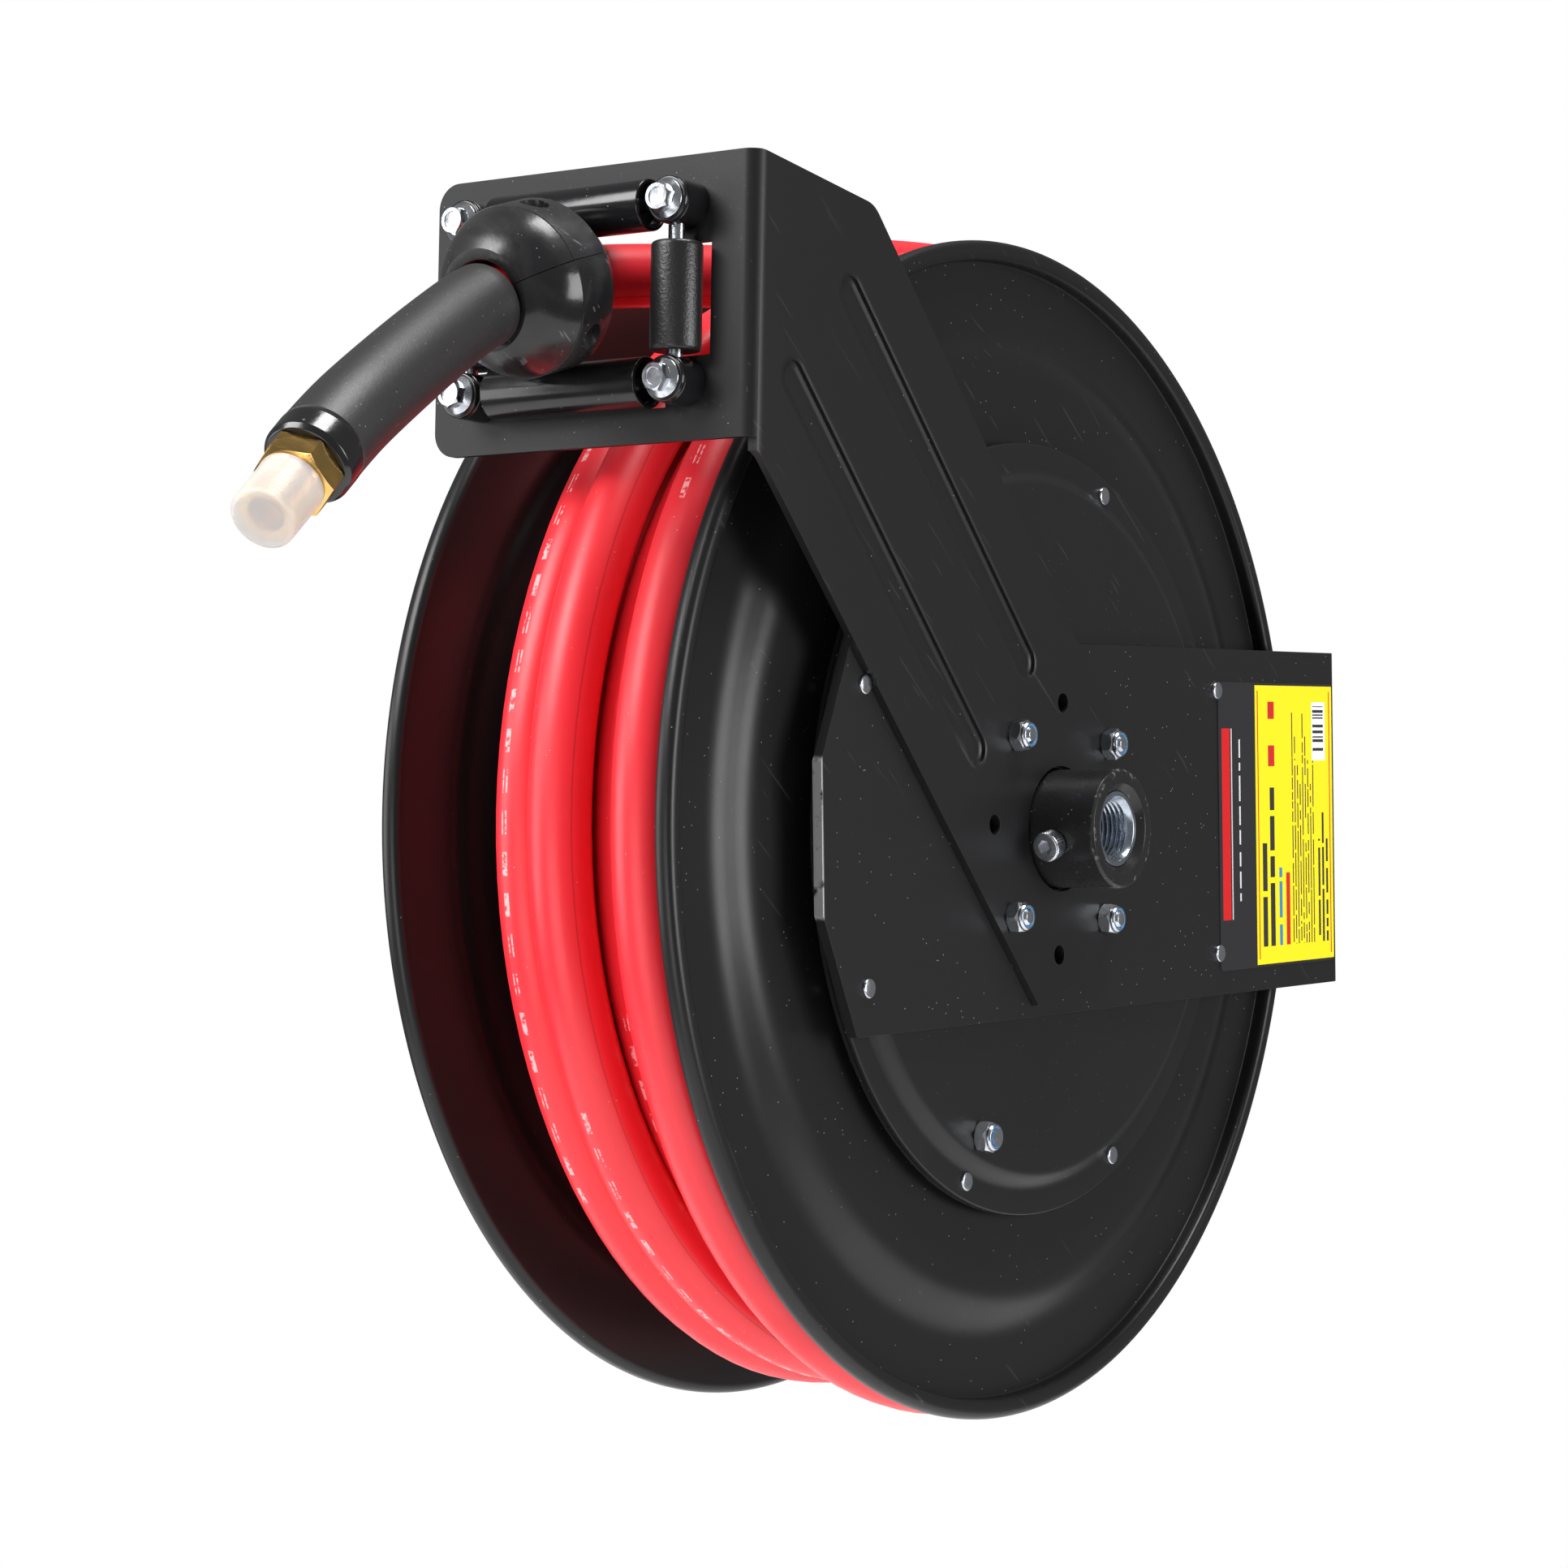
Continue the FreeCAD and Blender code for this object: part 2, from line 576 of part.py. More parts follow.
def spring_case():
    face = "cover_x + cover_thick"
    body = new_body("spring_cover")
    dome_face = "dome_x + cover_thick"
    revolve(body, "spring_cover",
            [("cover_x", "cover_r"), (face, "cover_r"), (face, "dome_foot_r"),
             (dome_face, "dome_r"), (dome_face, "boss_hole_r"), ("dome_x", "boss_hole_r"),
             ("dome_x", "dome_r - 1"), ("cover_x", "dome_foot_r - 1")])
    rivets = rivet_spots(COVER_ANGLES + BASE_ANGLES)
    add_holes(body, "cover_bolt", QUARTERS + [PAWL_SPOT], "bolt_hole_r")
    add_holes(body, "cover_rivet", rivets, "rivet_hole_r")
    body.Placement = axle_place()
    bind(body, "Placement.Base.y", "-axis_to_wall")
    keep(body, "spring_cover")

    cup = new_body("spring_case")
    lip = "cover_x - case_thick"
    bottom = "case_bottom_x + case_thick"
    revolve(cup, "spring_case",
            [("cover_x", "cover_r"), (lip, "cover_r"), (lip, "case_r"), ("case_bottom_x", "case_r"),
             ("case_bottom_x", "case_bore_r"), (bottom, "case_bore_r"),
             (bottom, "case_r - case_thick"), ("cover_x", "case_r - case_thick")])
    add_holes(cup, "case_rivet", rivets, "rivet_hole_r")
    add_holes(cup, "case_pawl", [PAWL_SPOT], "bolt_hole_r")
    cup.Placement = axle_place()
    bind(cup, "Placement.Base.y", "-axis_to_wall")
    keep(cup, "spring_case")

    group("cover_rivets", [rivet("cover_rivet_%d" % i, on_axle(face, s), face + " - cover_x + case_thick")
                           for i, s in enumerate(rivet_spots(COVER_ANGLES))])
    group("base_rivets", [rivet("base_rivet_%d" % i, on_axle("base_face_x", s),
                                "base_face_x - cover_x + case_thick")
                          for i, s in enumerate(rivet_spots(BASE_ANGLES))])
    spacers = []
    for i, s in enumerate(rivet_spots(BASE_ANGLES)):
        place = on_axle(face, s)
        gap = "base_face_x - base_thick - cover_x - cover_thick"
        blank = primitive("Cylinder", "spacer_blank_%d" % i, place, Radius="4", Height=gap)
        bore = primitive("Cylinder", "spacer_bore_%d" % i, place, Radius="rivet_hole_r", Height=gap)
        spacers.append(subtract("spacer_%d" % i, blank, bore))
    group("rivet_spacers", spacers)


def mainspring():
    """Flat strip wound in a spiral between the arbor and the case wall."""
    inner_r = value("spring_inner_r")
    growth = (value("spring_outer_r") - inner_r) / value("spring_turns")
    steps = int(24 * value("spring_turns"))
    sides = []
    for offset in (0.0, value("spring_strip")):
        side = []
        for i in range(steps + 1):
            angle = 15.0 * i
            y, z = polar(inner_r + offset + growth * angle / 360.0, angle)
            side.append(Vector(0, y, z))
        sides.append(side)
    outline = sides[0] + sides[1][::-1]
    face = Part.Face(Part.makePolygon(outline + outline[:1]))
    item = DOC.addObject("Part::Feature", "mainspring")
    item.Shape = face.extrude(Vector(value("spring_wide"), 0, 0))
    item.Placement = axle_place(value("spring_low_x"))
    keep(item, "mainspring")


def pawl_set():
    low = "pawl_x"
    shoulder = "pawl_x + pawl_thick + 0.2"
    lip = "cover_x - case_thick"
    nut_face = "dome_x + cover_thick"
    pivot = on_axle(low, PAWL_SPOT)
    bolt_long = nut_face + " + nut_high + 0.6 - pawl_x + 0.2"
    keep(hex_bolt("pawl_bolt", ahead(pivot, "-0.2"), bolt_long), "pawl_bolt")
    keep(lock_nut("pawl_nut", on_axle(nut_face, PAWL_SPOT)), "pawl_nut")
    gap = lip + " - pawl_x - pawl_thick - 0.2"
    place = on_axle(shoulder, PAWL_SPOT)
    spacers = []
    for i, (start, high) in enumerate(((place, gap), (on_axle("cover_x", PAWL_SPOT),
                                                      "dome_x - cover_x"))):
        blank = primitive("Cylinder", "pawl_spacer_blank_%d" % i, start, Radius="4.8", Height=high)
        bore = primitive("Cylinder", "pawl_spacer_bore_%d" % i, start, Radius="nut_bore_r",
                         Height=high)
        spacers.append(subtract("pawl_spacer_%d" % i, blank, bore))
    group("pawl_spacers", spacers)

    # torsion spring round the spacer
    helix = DOC.addObject("Part::Helix", "pawl_spring_line")
    helix.Pitch = 1.3
    helix.Height = 2.6
    helix.Radius = 5.8
    helix.Placement = place * Placement(Vector(0.9, 0, 0), Rotation(Vector(0, 1, 0), 90))
    wire = DOC.addObject("Part::Circle", "pawl_spring_wire")
    wire.Radius = 0.45
    wire.Placement = helix.Placement * Placement(Vector(5.8, 0, 0), Rotation(Vector(1, 0, 0), 90))
    coil = DOC.addObject("Part::Sweep", "pawl_spring")
    coil.Sections = [wire]
    coil.Spine = (helix, [])
    coil.Solid = True
    coil.Frenet = True
    keep(coil, "pawl_spring")

    # the pawl: local X along the axle, local Y along the tangent, local Z outwards
    radial_turn = value("pawl_angle") - 90
    frame = on_axle(low, PAWL_SPOT) * Placement(Vector(0, 0, 0), Rotation(Vector(1, 0, 0), radial_turn))
    body = new_body("pawl")
    sketch = new_sketch(body, "pawl_outline", "YZ_Plane")
    add_polygon(sketch, [("-5", "-2.5"), ("0", "-5.4"), ("14", "-3.6"), ("pawl_long - 1", "-1.8"),
                         ("pawl_long", "2.5"), ("14", "3.2"), ("0", "5.4"), ("-5", "2.5")])
    pad(body, sketch, "pawl_pad", "pawl_thick")
    add_holes(body, "pawl_pivot", [("0", "0")], "pawl_bore_r")
    body.Placement = frame
    keep(body, "pawl")


# Roller cage on the arm's front plate

def post_place(x, z, out=0.0):
    """Local X points out of the front plate."""
    outward = Rotation(Vector(1, 0, 0), Vector(0, -1, 0))
    return arm_place(x, -value("plate_front") - out, z, outward)


def roller_cage():
    posts = []
    bolts = []
    nuts = []
    middle_x = (value("post_right") - value("post_left")) / 2
    middle_z = (value("post_low") + value("post_high")) / 2
    half_post = value("post_long") / 2
    for i, (x, z) in enumerate(POSTS):
        place = post_place(x, z)
        barrel = primitive("Cylinder", "post_barrel_%d" % i, place, Radius="post_r", Height="post_long")
        hole = primitive("Cylinder", "post_bore_%d" % i, place, Radius="post_hole_r", Height="post_long")
        side = Vector(1 if x < middle_x else -1, 0, 0)
        rise = Vector(0, 0, 1 if z < middle_z else -1)
        tools = [hole]
        for tag, direction in (("side", side), ("rise", rise)):
            pin_way = arm_place(x, -value("plate_front") - half_post, z,
                                Rotation(Vector(1, 0, 0), direction))
            tools.append(primitive("Cylinder", "post_%s_%d" % (tag, i), pin_way,
                                   Radius="pin_hole_r", Height="post_r + 1"))
        posts.append(subtract("post_%d" % i, barrel, fuse("post_tools_%d" % i, *tools)))
        head_seat = post_place(x, z, value("post_long"))
        disc = primitive("Cylinder", "small_disc_%d" % i, head_seat, Radius="small_flange_r",
                         Height="small_flange")
        hexagon = primitive("Prism", "small_hex_%d" % i, ahead(head_seat, "small_flange"),
                            Polygon=6, Circumradius="small_head_r", Height="small_head")
        back = ahead(head_seat, "-post_long - arm_thick - 6")
        shank = primitive("Cylinder", "small_shank_%d" % i, back, Radius="small_bolt_r",
                          Height="post_long + arm_thick + 6")
        bolts.append(fuse("small_bolt_%d" % i, disc, hexagon, shank))
        nut_place = ahead(place, "-arm_thick - 4")
        nuts.append(hex_nut("small_nut_%d" % i, nut_place, "small_head_r", "4", "small_nut_bore_r"))
    group("roller_posts", posts)
    group("post_bolts", bolts)
    group("post_nuts", nuts)

    pins = []
    axis_y = -value("plate_front") - half_post
    width = "post_left + post_right"
    height = "post_high - post_low"
    rollers = (("top", "roller_long", width, -value("post_left"), value("post_high"), (1, 0, 0)),
               ("bottom", "roller_long", width, -value("post_left"), value("post_low"), (1, 0, 0)),
               ("left", "roller_short", height, -value("post_left"), value("post_low"), (0, 0, 1)),
               ("right", "roller_short", height, value("post_right"), value("post_low"), (0, 0, 1)))
    for tag, length, span, x, z, direction in rollers:
        start = arm_place(x, axis_y, z, Rotation(Vector(1, 0, 0), Vector(*direction)))
        pin_long = span + " - 2*pin_gap"
        pins.append(primitive("Cylinder", "pin_" + tag, ahead(start, "pin_gap"), Radius="pin_r",
                              Height=pin_long))
        shift = (value(span) - value(length)) / 2 if direction[0] else value("roller_drop")
        place = ahead(start, None, shift)
        edge_r = "roller_r - roller_edge"
        end = length + " - roller_edge"
        recess_end = length + " - roller_recess"
        turned("roller_" + tag,
               [("roller_recess", "pin_hole_r"), ("roller_recess", "roller_recess_r"),
                ("0", "roller_recess_r"), ("0", edge_r), ("roller_edge", "roller_r"),
                (end, "roller_r"), (length, edge_r), (length, "roller_recess_r"),
                (recess_end, "roller_recess_r"), (recess_end, "pin_hole_r")], place)
    group("roller_pins", pins)


# Reel

def flange_points(side, hole):
    """Pressed flange with a beaded rim; side is + for the near one and - for the far one."""
    inner = "near_x" if side == "+" else "far_x"
    sheet = "%s %s sheet" % (inner, side)
    raised = "%s %s step" % (inner, side)
    raised_face = "%s %s step %s sheet" % (inner, side, side)
    bead = "%s %s bead" % (inner, side)
    return [(raised, hole), (raised_face, hole), (raised_face, "step_in_r"),
            (sheet, "step_out_r"), (sheet, "rim_r - bead"), (bead, "rim_r - bead"),
            (bead, "rim_r"), (inner, "rim_r"), (inner, "step_out_r"), (raised, "step_in_r - 0.5")]


def flange(label, side, hole):
    body = new_body(label)
    revolve(body, label, flange_points(side, hole))
    inner = value("near_x" if side == "+" else "far_x")
    outer = inner + (value("bead") if side == "+" else -value("bead"))
    low = value("rim_r") - value("bead")
    high = value("rim_r")
    spots = ((outer, low), (outer, high), (inner, high))

    def on_bead(edge, middle):
        radius = math.hypot(middle.y, middle.z)
        return any(near(middle.x, x) and near(radius, r) for x, r in spots)

    round_edges(body, label + "_bead", "bead*0.48", on_bead)
    return body


def reel():
    body = flange("near_flange", "+", "flange_hole_r")
    notch_middle = value("pawl_angle") - value("tip_angle")
    spots = [polar(value("flange_hole_r") + 2.2, notch_middle + 7.5 + 60 * i) for i in range(6)]
    add_holes(body, "near_rivet", spots, "1.3")
    body.Placement = axle_place()
    bind(body, "Placement.Base.y", "-axis_to_wall")
    keep(body, "near_flange")
    raised = "near_x + step"
    raised_face = "near_x + step + sheet"
    rivets = []
    for i, spot in enumerate(spots):
        head = primitive("Cylinder", "flange_head_%d" % i, on_axle(raised_face, spot), Radius="2.1",
                         Height="0.8")
        shank = primitive("Cylinder", "flange_shank_%d" % i, on_axle("ring_x", spot),
                          Radius="1.25", Height=raised + " + sheet - ring_x")
        rivets.append(fuse("flange_rivet_%d" % i, head, shank))
    group("flange_rivets", rivets)

    far = flange("far_flange", "-", "far_hub_r + 0.1")
    far_spots = [polar(value("far_bolt_circle_r"), 45 + 90 * i) for i in range(4)]
    add_holes(far, "far_bolt", far_spots, "bolt_hole_r")
    far.Placement = axle_place()
    bind(far, "Placement.Base.y", "-axis_to_wall")
    keep(far, "far_flange")

    far_inner = "far_x - step"
    drum = new_body("drum_shell")
    revolve(drum, "drum_shell", ring_points(far_inner, raised, "drum_r - drum_thick", "drum_r"))
    mouth = new_sketch(drum, "hose_mouth", "XY_Plane", "60")
    add_polygon(mouth, [("port_x - slot_half - 6", "-slot_start"), ("port_x + slot_half", "-slot_start"),
                        ("port_x + slot_half", "-slot_end"), ("port_x - slot_half - 6", "-slot_end")])
    DOC.recompute()
    before = drum.Shape.Volume
    pocket = drum.newObject("PartDesign::Pocket", "hose_mouth_cut")
    pocket.Profile = mouth
    pocket.Type = "ThroughAll"
    pocket.Reversed = True
    drum.Tip = pocket
    DOC.recompute()
    if drum.Shape.Volume >= before:
        raise RuntimeError("the hose mouth removes nothing")
    drum.Placement = axle_place()
    bind(drum, "Placement.Base.y", "-axis_to_wall")
    keep(drum, "drum_shell")

    web_face = "web_x + web_thick"
    web = new_body("drum_web")
    revolve(web, "drum_web", ring_points("web_x", web_face, "web_bore_r", "drum_r - drum_thick"))
    web_rivets = [polar(27, 60 * i) for i in range(6)]
    add_holes(web, "web_rivet", web_rivets, "rivet_hole_r")
    lightening = [polar(74, 30 + 60 * i) for i in range(6)]
    add_holes(web, "web_light", lightening, "17")
    web.Placement = axle_place()
    bind(web, "Placement.Base.y", "-axis_to_wall")
    keep(web, "drum_web")

    arbor = new_body("spring_arbor")
    revolve(arbor, "spring_arbor",
            [("0", "arbor_bore_r"), ("0", "arbor_flange_r"), ("web_x", "arbor_flange_r"),
             ("web_x", "arbor_r"), ("arbor_end_x", "arbor_r"), ("arbor_end_x", "arbor_bore_r")])
    add_holes(arbor, "arbor_rivet", web_rivets, "rivet_hole_r")
    slot = new_sketch(arbor, "hook_slot", "XY_Plane", "arbor_bore_r - 1")
    add_polygon(slot, [("spring_low_x", "-1.5"), ("spring_low_x + spring_wide", "-1.5"),
                       ("spring_low_x + spring_wide", "1.5"), ("spring_low_x", "1.5")])
    hook = arbor.newObject("PartDesign::Pocket", "hook_slot_cut")
    hook.Profile = slot
    hook.Type = "ThroughAll"
    hook.Reversed = True
    arbor.Tip = hook
    arbor.Placement = axle_place()
    bind(arbor, "Placement.Base.y", "-axis_to_wall")
    keep(arbor, "spring_arbor")
    group("arbor_rivets", [rivet("arbor_rivet_%d" % i, on_axle(web_face, s), "web_x + web_thick",
                                 "1.2") for i, s in enumerate(web_rivets)])

    turned("near_bush", ring_points("30", "arbor_end_x - 1", "bush_bore_r", "bush_r"))
    turned("far_bush", ring_points("far_hub_x", "far_hub_end_x", "bush_bore_r", "bush_r"))
    inner_face = far_inner
    hub_face = inner_face + " + far_hub_flange"
    far_hub = new_body("far_hub")
    revolve(far_hub, "far_hub",
            [("far_hub_x", "arbor_bore_r"), ("far_hub_x", "far_hub_r"), (inner_face, "far_hub_r"),
             (inner_face, "far_hub_flange_r"), (hub_face, "far_hub_flange_r"),
             (hub_face, "far_hub_r"), ("far_hub_end_x", "far_hub_r"),
             ("far_hub_end_x", "arbor_bore_r")])
    add_holes(far_hub, "far_hub_bolt", far_spots, "bolt_hole_r - 0.25")
    far_hub.Placement = axle_place()
    bind(far_hub, "Placement.Base.y", "-axis_to_wall")
    keep(far_hub, "far_hub")
    outside = "far_x - step - sheet"
    bolts = []
    for i, spot in enumerate(far_spots):
        place = on_axle(outside, spot)
        bolts.append(hex_bolt("far_hub_bolt_%d" % i, place, "sheet + far_hub_flange + 2"))
    group("far_hub_bolts", bolts)

    washer_end = "far_hub_x - 0.4"
    turned("thrust_washer", ring_points("groove_x + groove_wide", washer_end, "shaft_r + 0.1", "18"))
    turned("circlip", ring_points("groove_x + 0.15", "groove_x + groove_wide - 0.15",
                                  "groove_r + 0.1", "15.8"))

    teeth = new_body("ratchet_ring")
    revolve(teeth, "ratchet_ring", ring_points("ring_x", "ring_x + ring_thick", "ring_tip_r", "ring_r"))
    half = value("notch_angle") / 2
    notch = new_sketch(teeth, "notch", "YZ_Plane")
    corners = [polar(value(r), notch_middle + side)
               for r, side in (("ring_tip_r - 2", -half), ("ring_root_r", -half),
                               ("ring_root_r", half), ("ring_tip_r - 2", half))]
    add_polygon(notch, corners)
    cut(teeth, notch, "notch_cut")
    pattern = teeth.newObject("PartDesign::PolarPattern", "notches")
    pattern.Originals = [teeth.Tip]
    pattern.Axis = (origin_plane(teeth, "X_Axis"), [""])
    pattern.Angle = 360
    pattern.Occurrences = int(value("ring_teeth"))
    teeth.Tip = pattern
    add_holes(teeth, "ring_rivet", spots, "1.3")
    teeth.Placement = axle_place()
    bind(teeth, "Placement.Base.y", "-axis_to_wall")
    keep(teeth, "ratchet_ring")


def water_way():
    """Swivel on the shaft and the pipe that leads to the hose's inner end."""
    groove = "seal_groove"
    low = "port_x - chamber_half"
    high = "port_x + chamber_half"
    first = "swivel_x + 3"
    second = "swivel_end_x - 3"
    body = new_body("swivel_housing")
    revolve(body, "swivel_housing",
            [("swivel_x", "swivel_bore_r"), ("swivel_x", "swivel_r"), ("swivel_end_x", "swivel_r"),
             ("swivel_end_x", "swivel_bore_r"), (second, "swivel_bore_r"),
             (second, "seal_groove_r"), (second + " - " + groove, "seal_groove_r"),
             (second + " - " + groove, "swivel_bore_r"), (high, "swivel_bore_r"),
             (high, "chamber_r"), (low, "chamber_r"), (low, "swivel_bore_r"),
             (first + " + " + groove, "swivel_bore_r"), (first + " + " + groove, "seal_groove_r"),
             (first, "seal_groove_r"), (first, "swivel_bore_r")])
    outlet = new_sketch(body, "swivel_outlet", "XY_Plane", "chamber_r - 2")
    add_circle(outlet, "port_x", "0", "elbow_bore_r")
    way = body.newObject("PartDesign::Pocket", "swivel_outlet_cut")
    way.Profile = outlet
    way.Type = "ThroughAll"
    way.Reversed = True
    body.Tip = way
    body.Placement = axle_place()
    bind(body, "Placement.Base.y", "-axis_to_wall")
    keep(body, "swivel_housing")

    seals = []
    for name, middle in (("inner", "swivel_x + 4.4"), ("outer", "swivel_end_x - 4.4")):
        place = axle_place(value(middle))
        seals.append(primitive("Torus", "seal_" + name, place, Radius1="14.05", Radius2="1.2"))
    group("swivel_seals", seals)

    # pipe: up from the swivel, round a bend, then along the tangent
    top = value("elbow_top")
    bend = value("elbow_bend_r")
    start = Vector(value("port_x"), 0, value("swivel_r"))
    corner = Vector(value("port_x"), 0, top)
    bend_in = corner - Vector(0, 0, bend)
    bend_out = corner - Vector(0, bend, 0)
    end = Vector(value("port_x"), -value("elbow_end"), top)
    middle = Vector(value("port_x"), -bend * (1 - math.sqrt(0.5)), top - bend * (1 - math.sqrt(0.5)))
    path = Part.Wire([Part.LineSegment(start, bend_in).toShape(),
                      Part.Arc(bend_in, middle, bend_out).toShape(),
                      Part.LineSegment(bend_out, end).toShape()])
    item = DOC.addObject("Part::Feature", "outlet_elbow")
    tubes = []
    for radius in ("elbow_r", "elbow_bore_r"):
        section = Part.Wire([Part.Circle(start, Vector(0, 0, 1), value(radius)).toShape()])
        tubes.append(path.makePipeShell([section], True, False))
    item.Shape = tubes[0].cut(tubes[1])
    item.Placement = axle_place()
    keep(item, "outlet_elbow")

    clamp = Placement(Vector(value("port_x"), -value("axis_to_wall") - value("elbow_end") + 14, top),
                      Rotation(Vector(1, 0, 0), Vector(0, -1, 0)))
    turned("inner_clamp", [("0", "elbow_r + 0.05"), ("0", "elbow_r + 3"), ("12", "elbow_r + 3"),
                           ("12", "elbow_r + 0.05")], clamp)


# Hose and what is on it

def rounded_route(points):
    """Straight runs joined by tangent arcs, each as large as its two runs allow."""
    corners = [Vector(*p) for p in points]
    edges = []
    last = corners[0]
    for before, corner, after in zip(corners, corners[1:], corners[2:]):
        back = before - corner
        front = after - corner
        turn = math.pi - back.getAngle(front)
        reach = 0.45 * min(back.Length, front.Length)
        radius = reach / math.tan(turn / 2)
        print("hose arc radius %.0f mm, turn %.1f degrees" % (radius, math.degrees(turn)))
        back.normalize()
        front.normalize()
        start = corner + back * reach
        end = corner + front * reach
        inward = (back + front).normalize()
        centre_distance = radius / math.cos(turn / 2)
        middle = corner + inward * (centre_distance - radius)
        edges.append(Part.LineSegment(last, start).toShape())
        edges.append(Part.Arc(start, middle, end).toShape())
        last = end
    edges.append(Part.LineSegment(last, corners[-1]).toShape())
    return Part.Wire(edges)


def hose():
    inside = "drum_r + coil_gap"
    turned("hose_coil",
           [("near_turn_x", inside), ("near_turn_x", "near_turn_r"),
            ("near_turn_low", "near_turn_r"), ("near_turn_low", "valley_r"),
            ("mid_turn_x", "valley_r"), ("mid_turn_x", "mid_turn_r"),
            ("mid_turn_low", "mid_turn_r"), ("mid_turn_low - 4", "edge_turn_r"),
            ("edge_turn_x", "edge_turn_r"), ("edge_turn_x", "edge_turn_r - 20"),
            ("edge_turn_x - 2", "second_r"), ("second_low", "second_r"),
            ("second_low - 1", "first_r"), ("first_low", "first_r"), ("first_low", inside)])
    wire = rounded_route(HOSE_ROUTE)
    direction = wire.Edges[0].tangentAt(wire.Edges[0].FirstParameter)
    section = Part.Wire([Part.Circle(Vector(*HOSE_ROUTE[0]), direction, value("hose_r")).toShape()])
    tube = wire.makePipeShell([section], True, False)
    expected = math.pi * value("hose_r") ** 2 * wire.Length
    print("free hose %.0f mm, volume ratio %.4f" % (wire.Length, tube.Volume / expected))
    item = DOC.addObject("Part::Feature", "hose_tail")
    item.Shape = tube
    keep(item, "hose_tail")
    return wire


def ball_profile():
    """Half outline of the ball stop along its axis, with a wide mouth in front."""
    points = [("-20", "ball_bore_r")]
    for part, radius, places in ((-1, "dome_back_r", (22, 20, 17, 12, 7)),
                                 (1, "dome_front_r", (8, 12, 16, 19, 21, 22.5))):
        ball_r = value(radius)
        if part > 0:
            points += [("-band_back", "band_r"), ("band_front", "band_r")]
        for along_axis in places:
            across = math.sqrt(ball_r ** 2 - along_axis ** 2)
            points.append(("%.3f" % (part * along_axis), "%.3f" % across))
    points[0] = ("-22", "ball_bore_r + 1.5")
    return points + [("22.5", "socket_r"), ("12", "ball_bore_r"), ("-12", "ball_bore_r")]


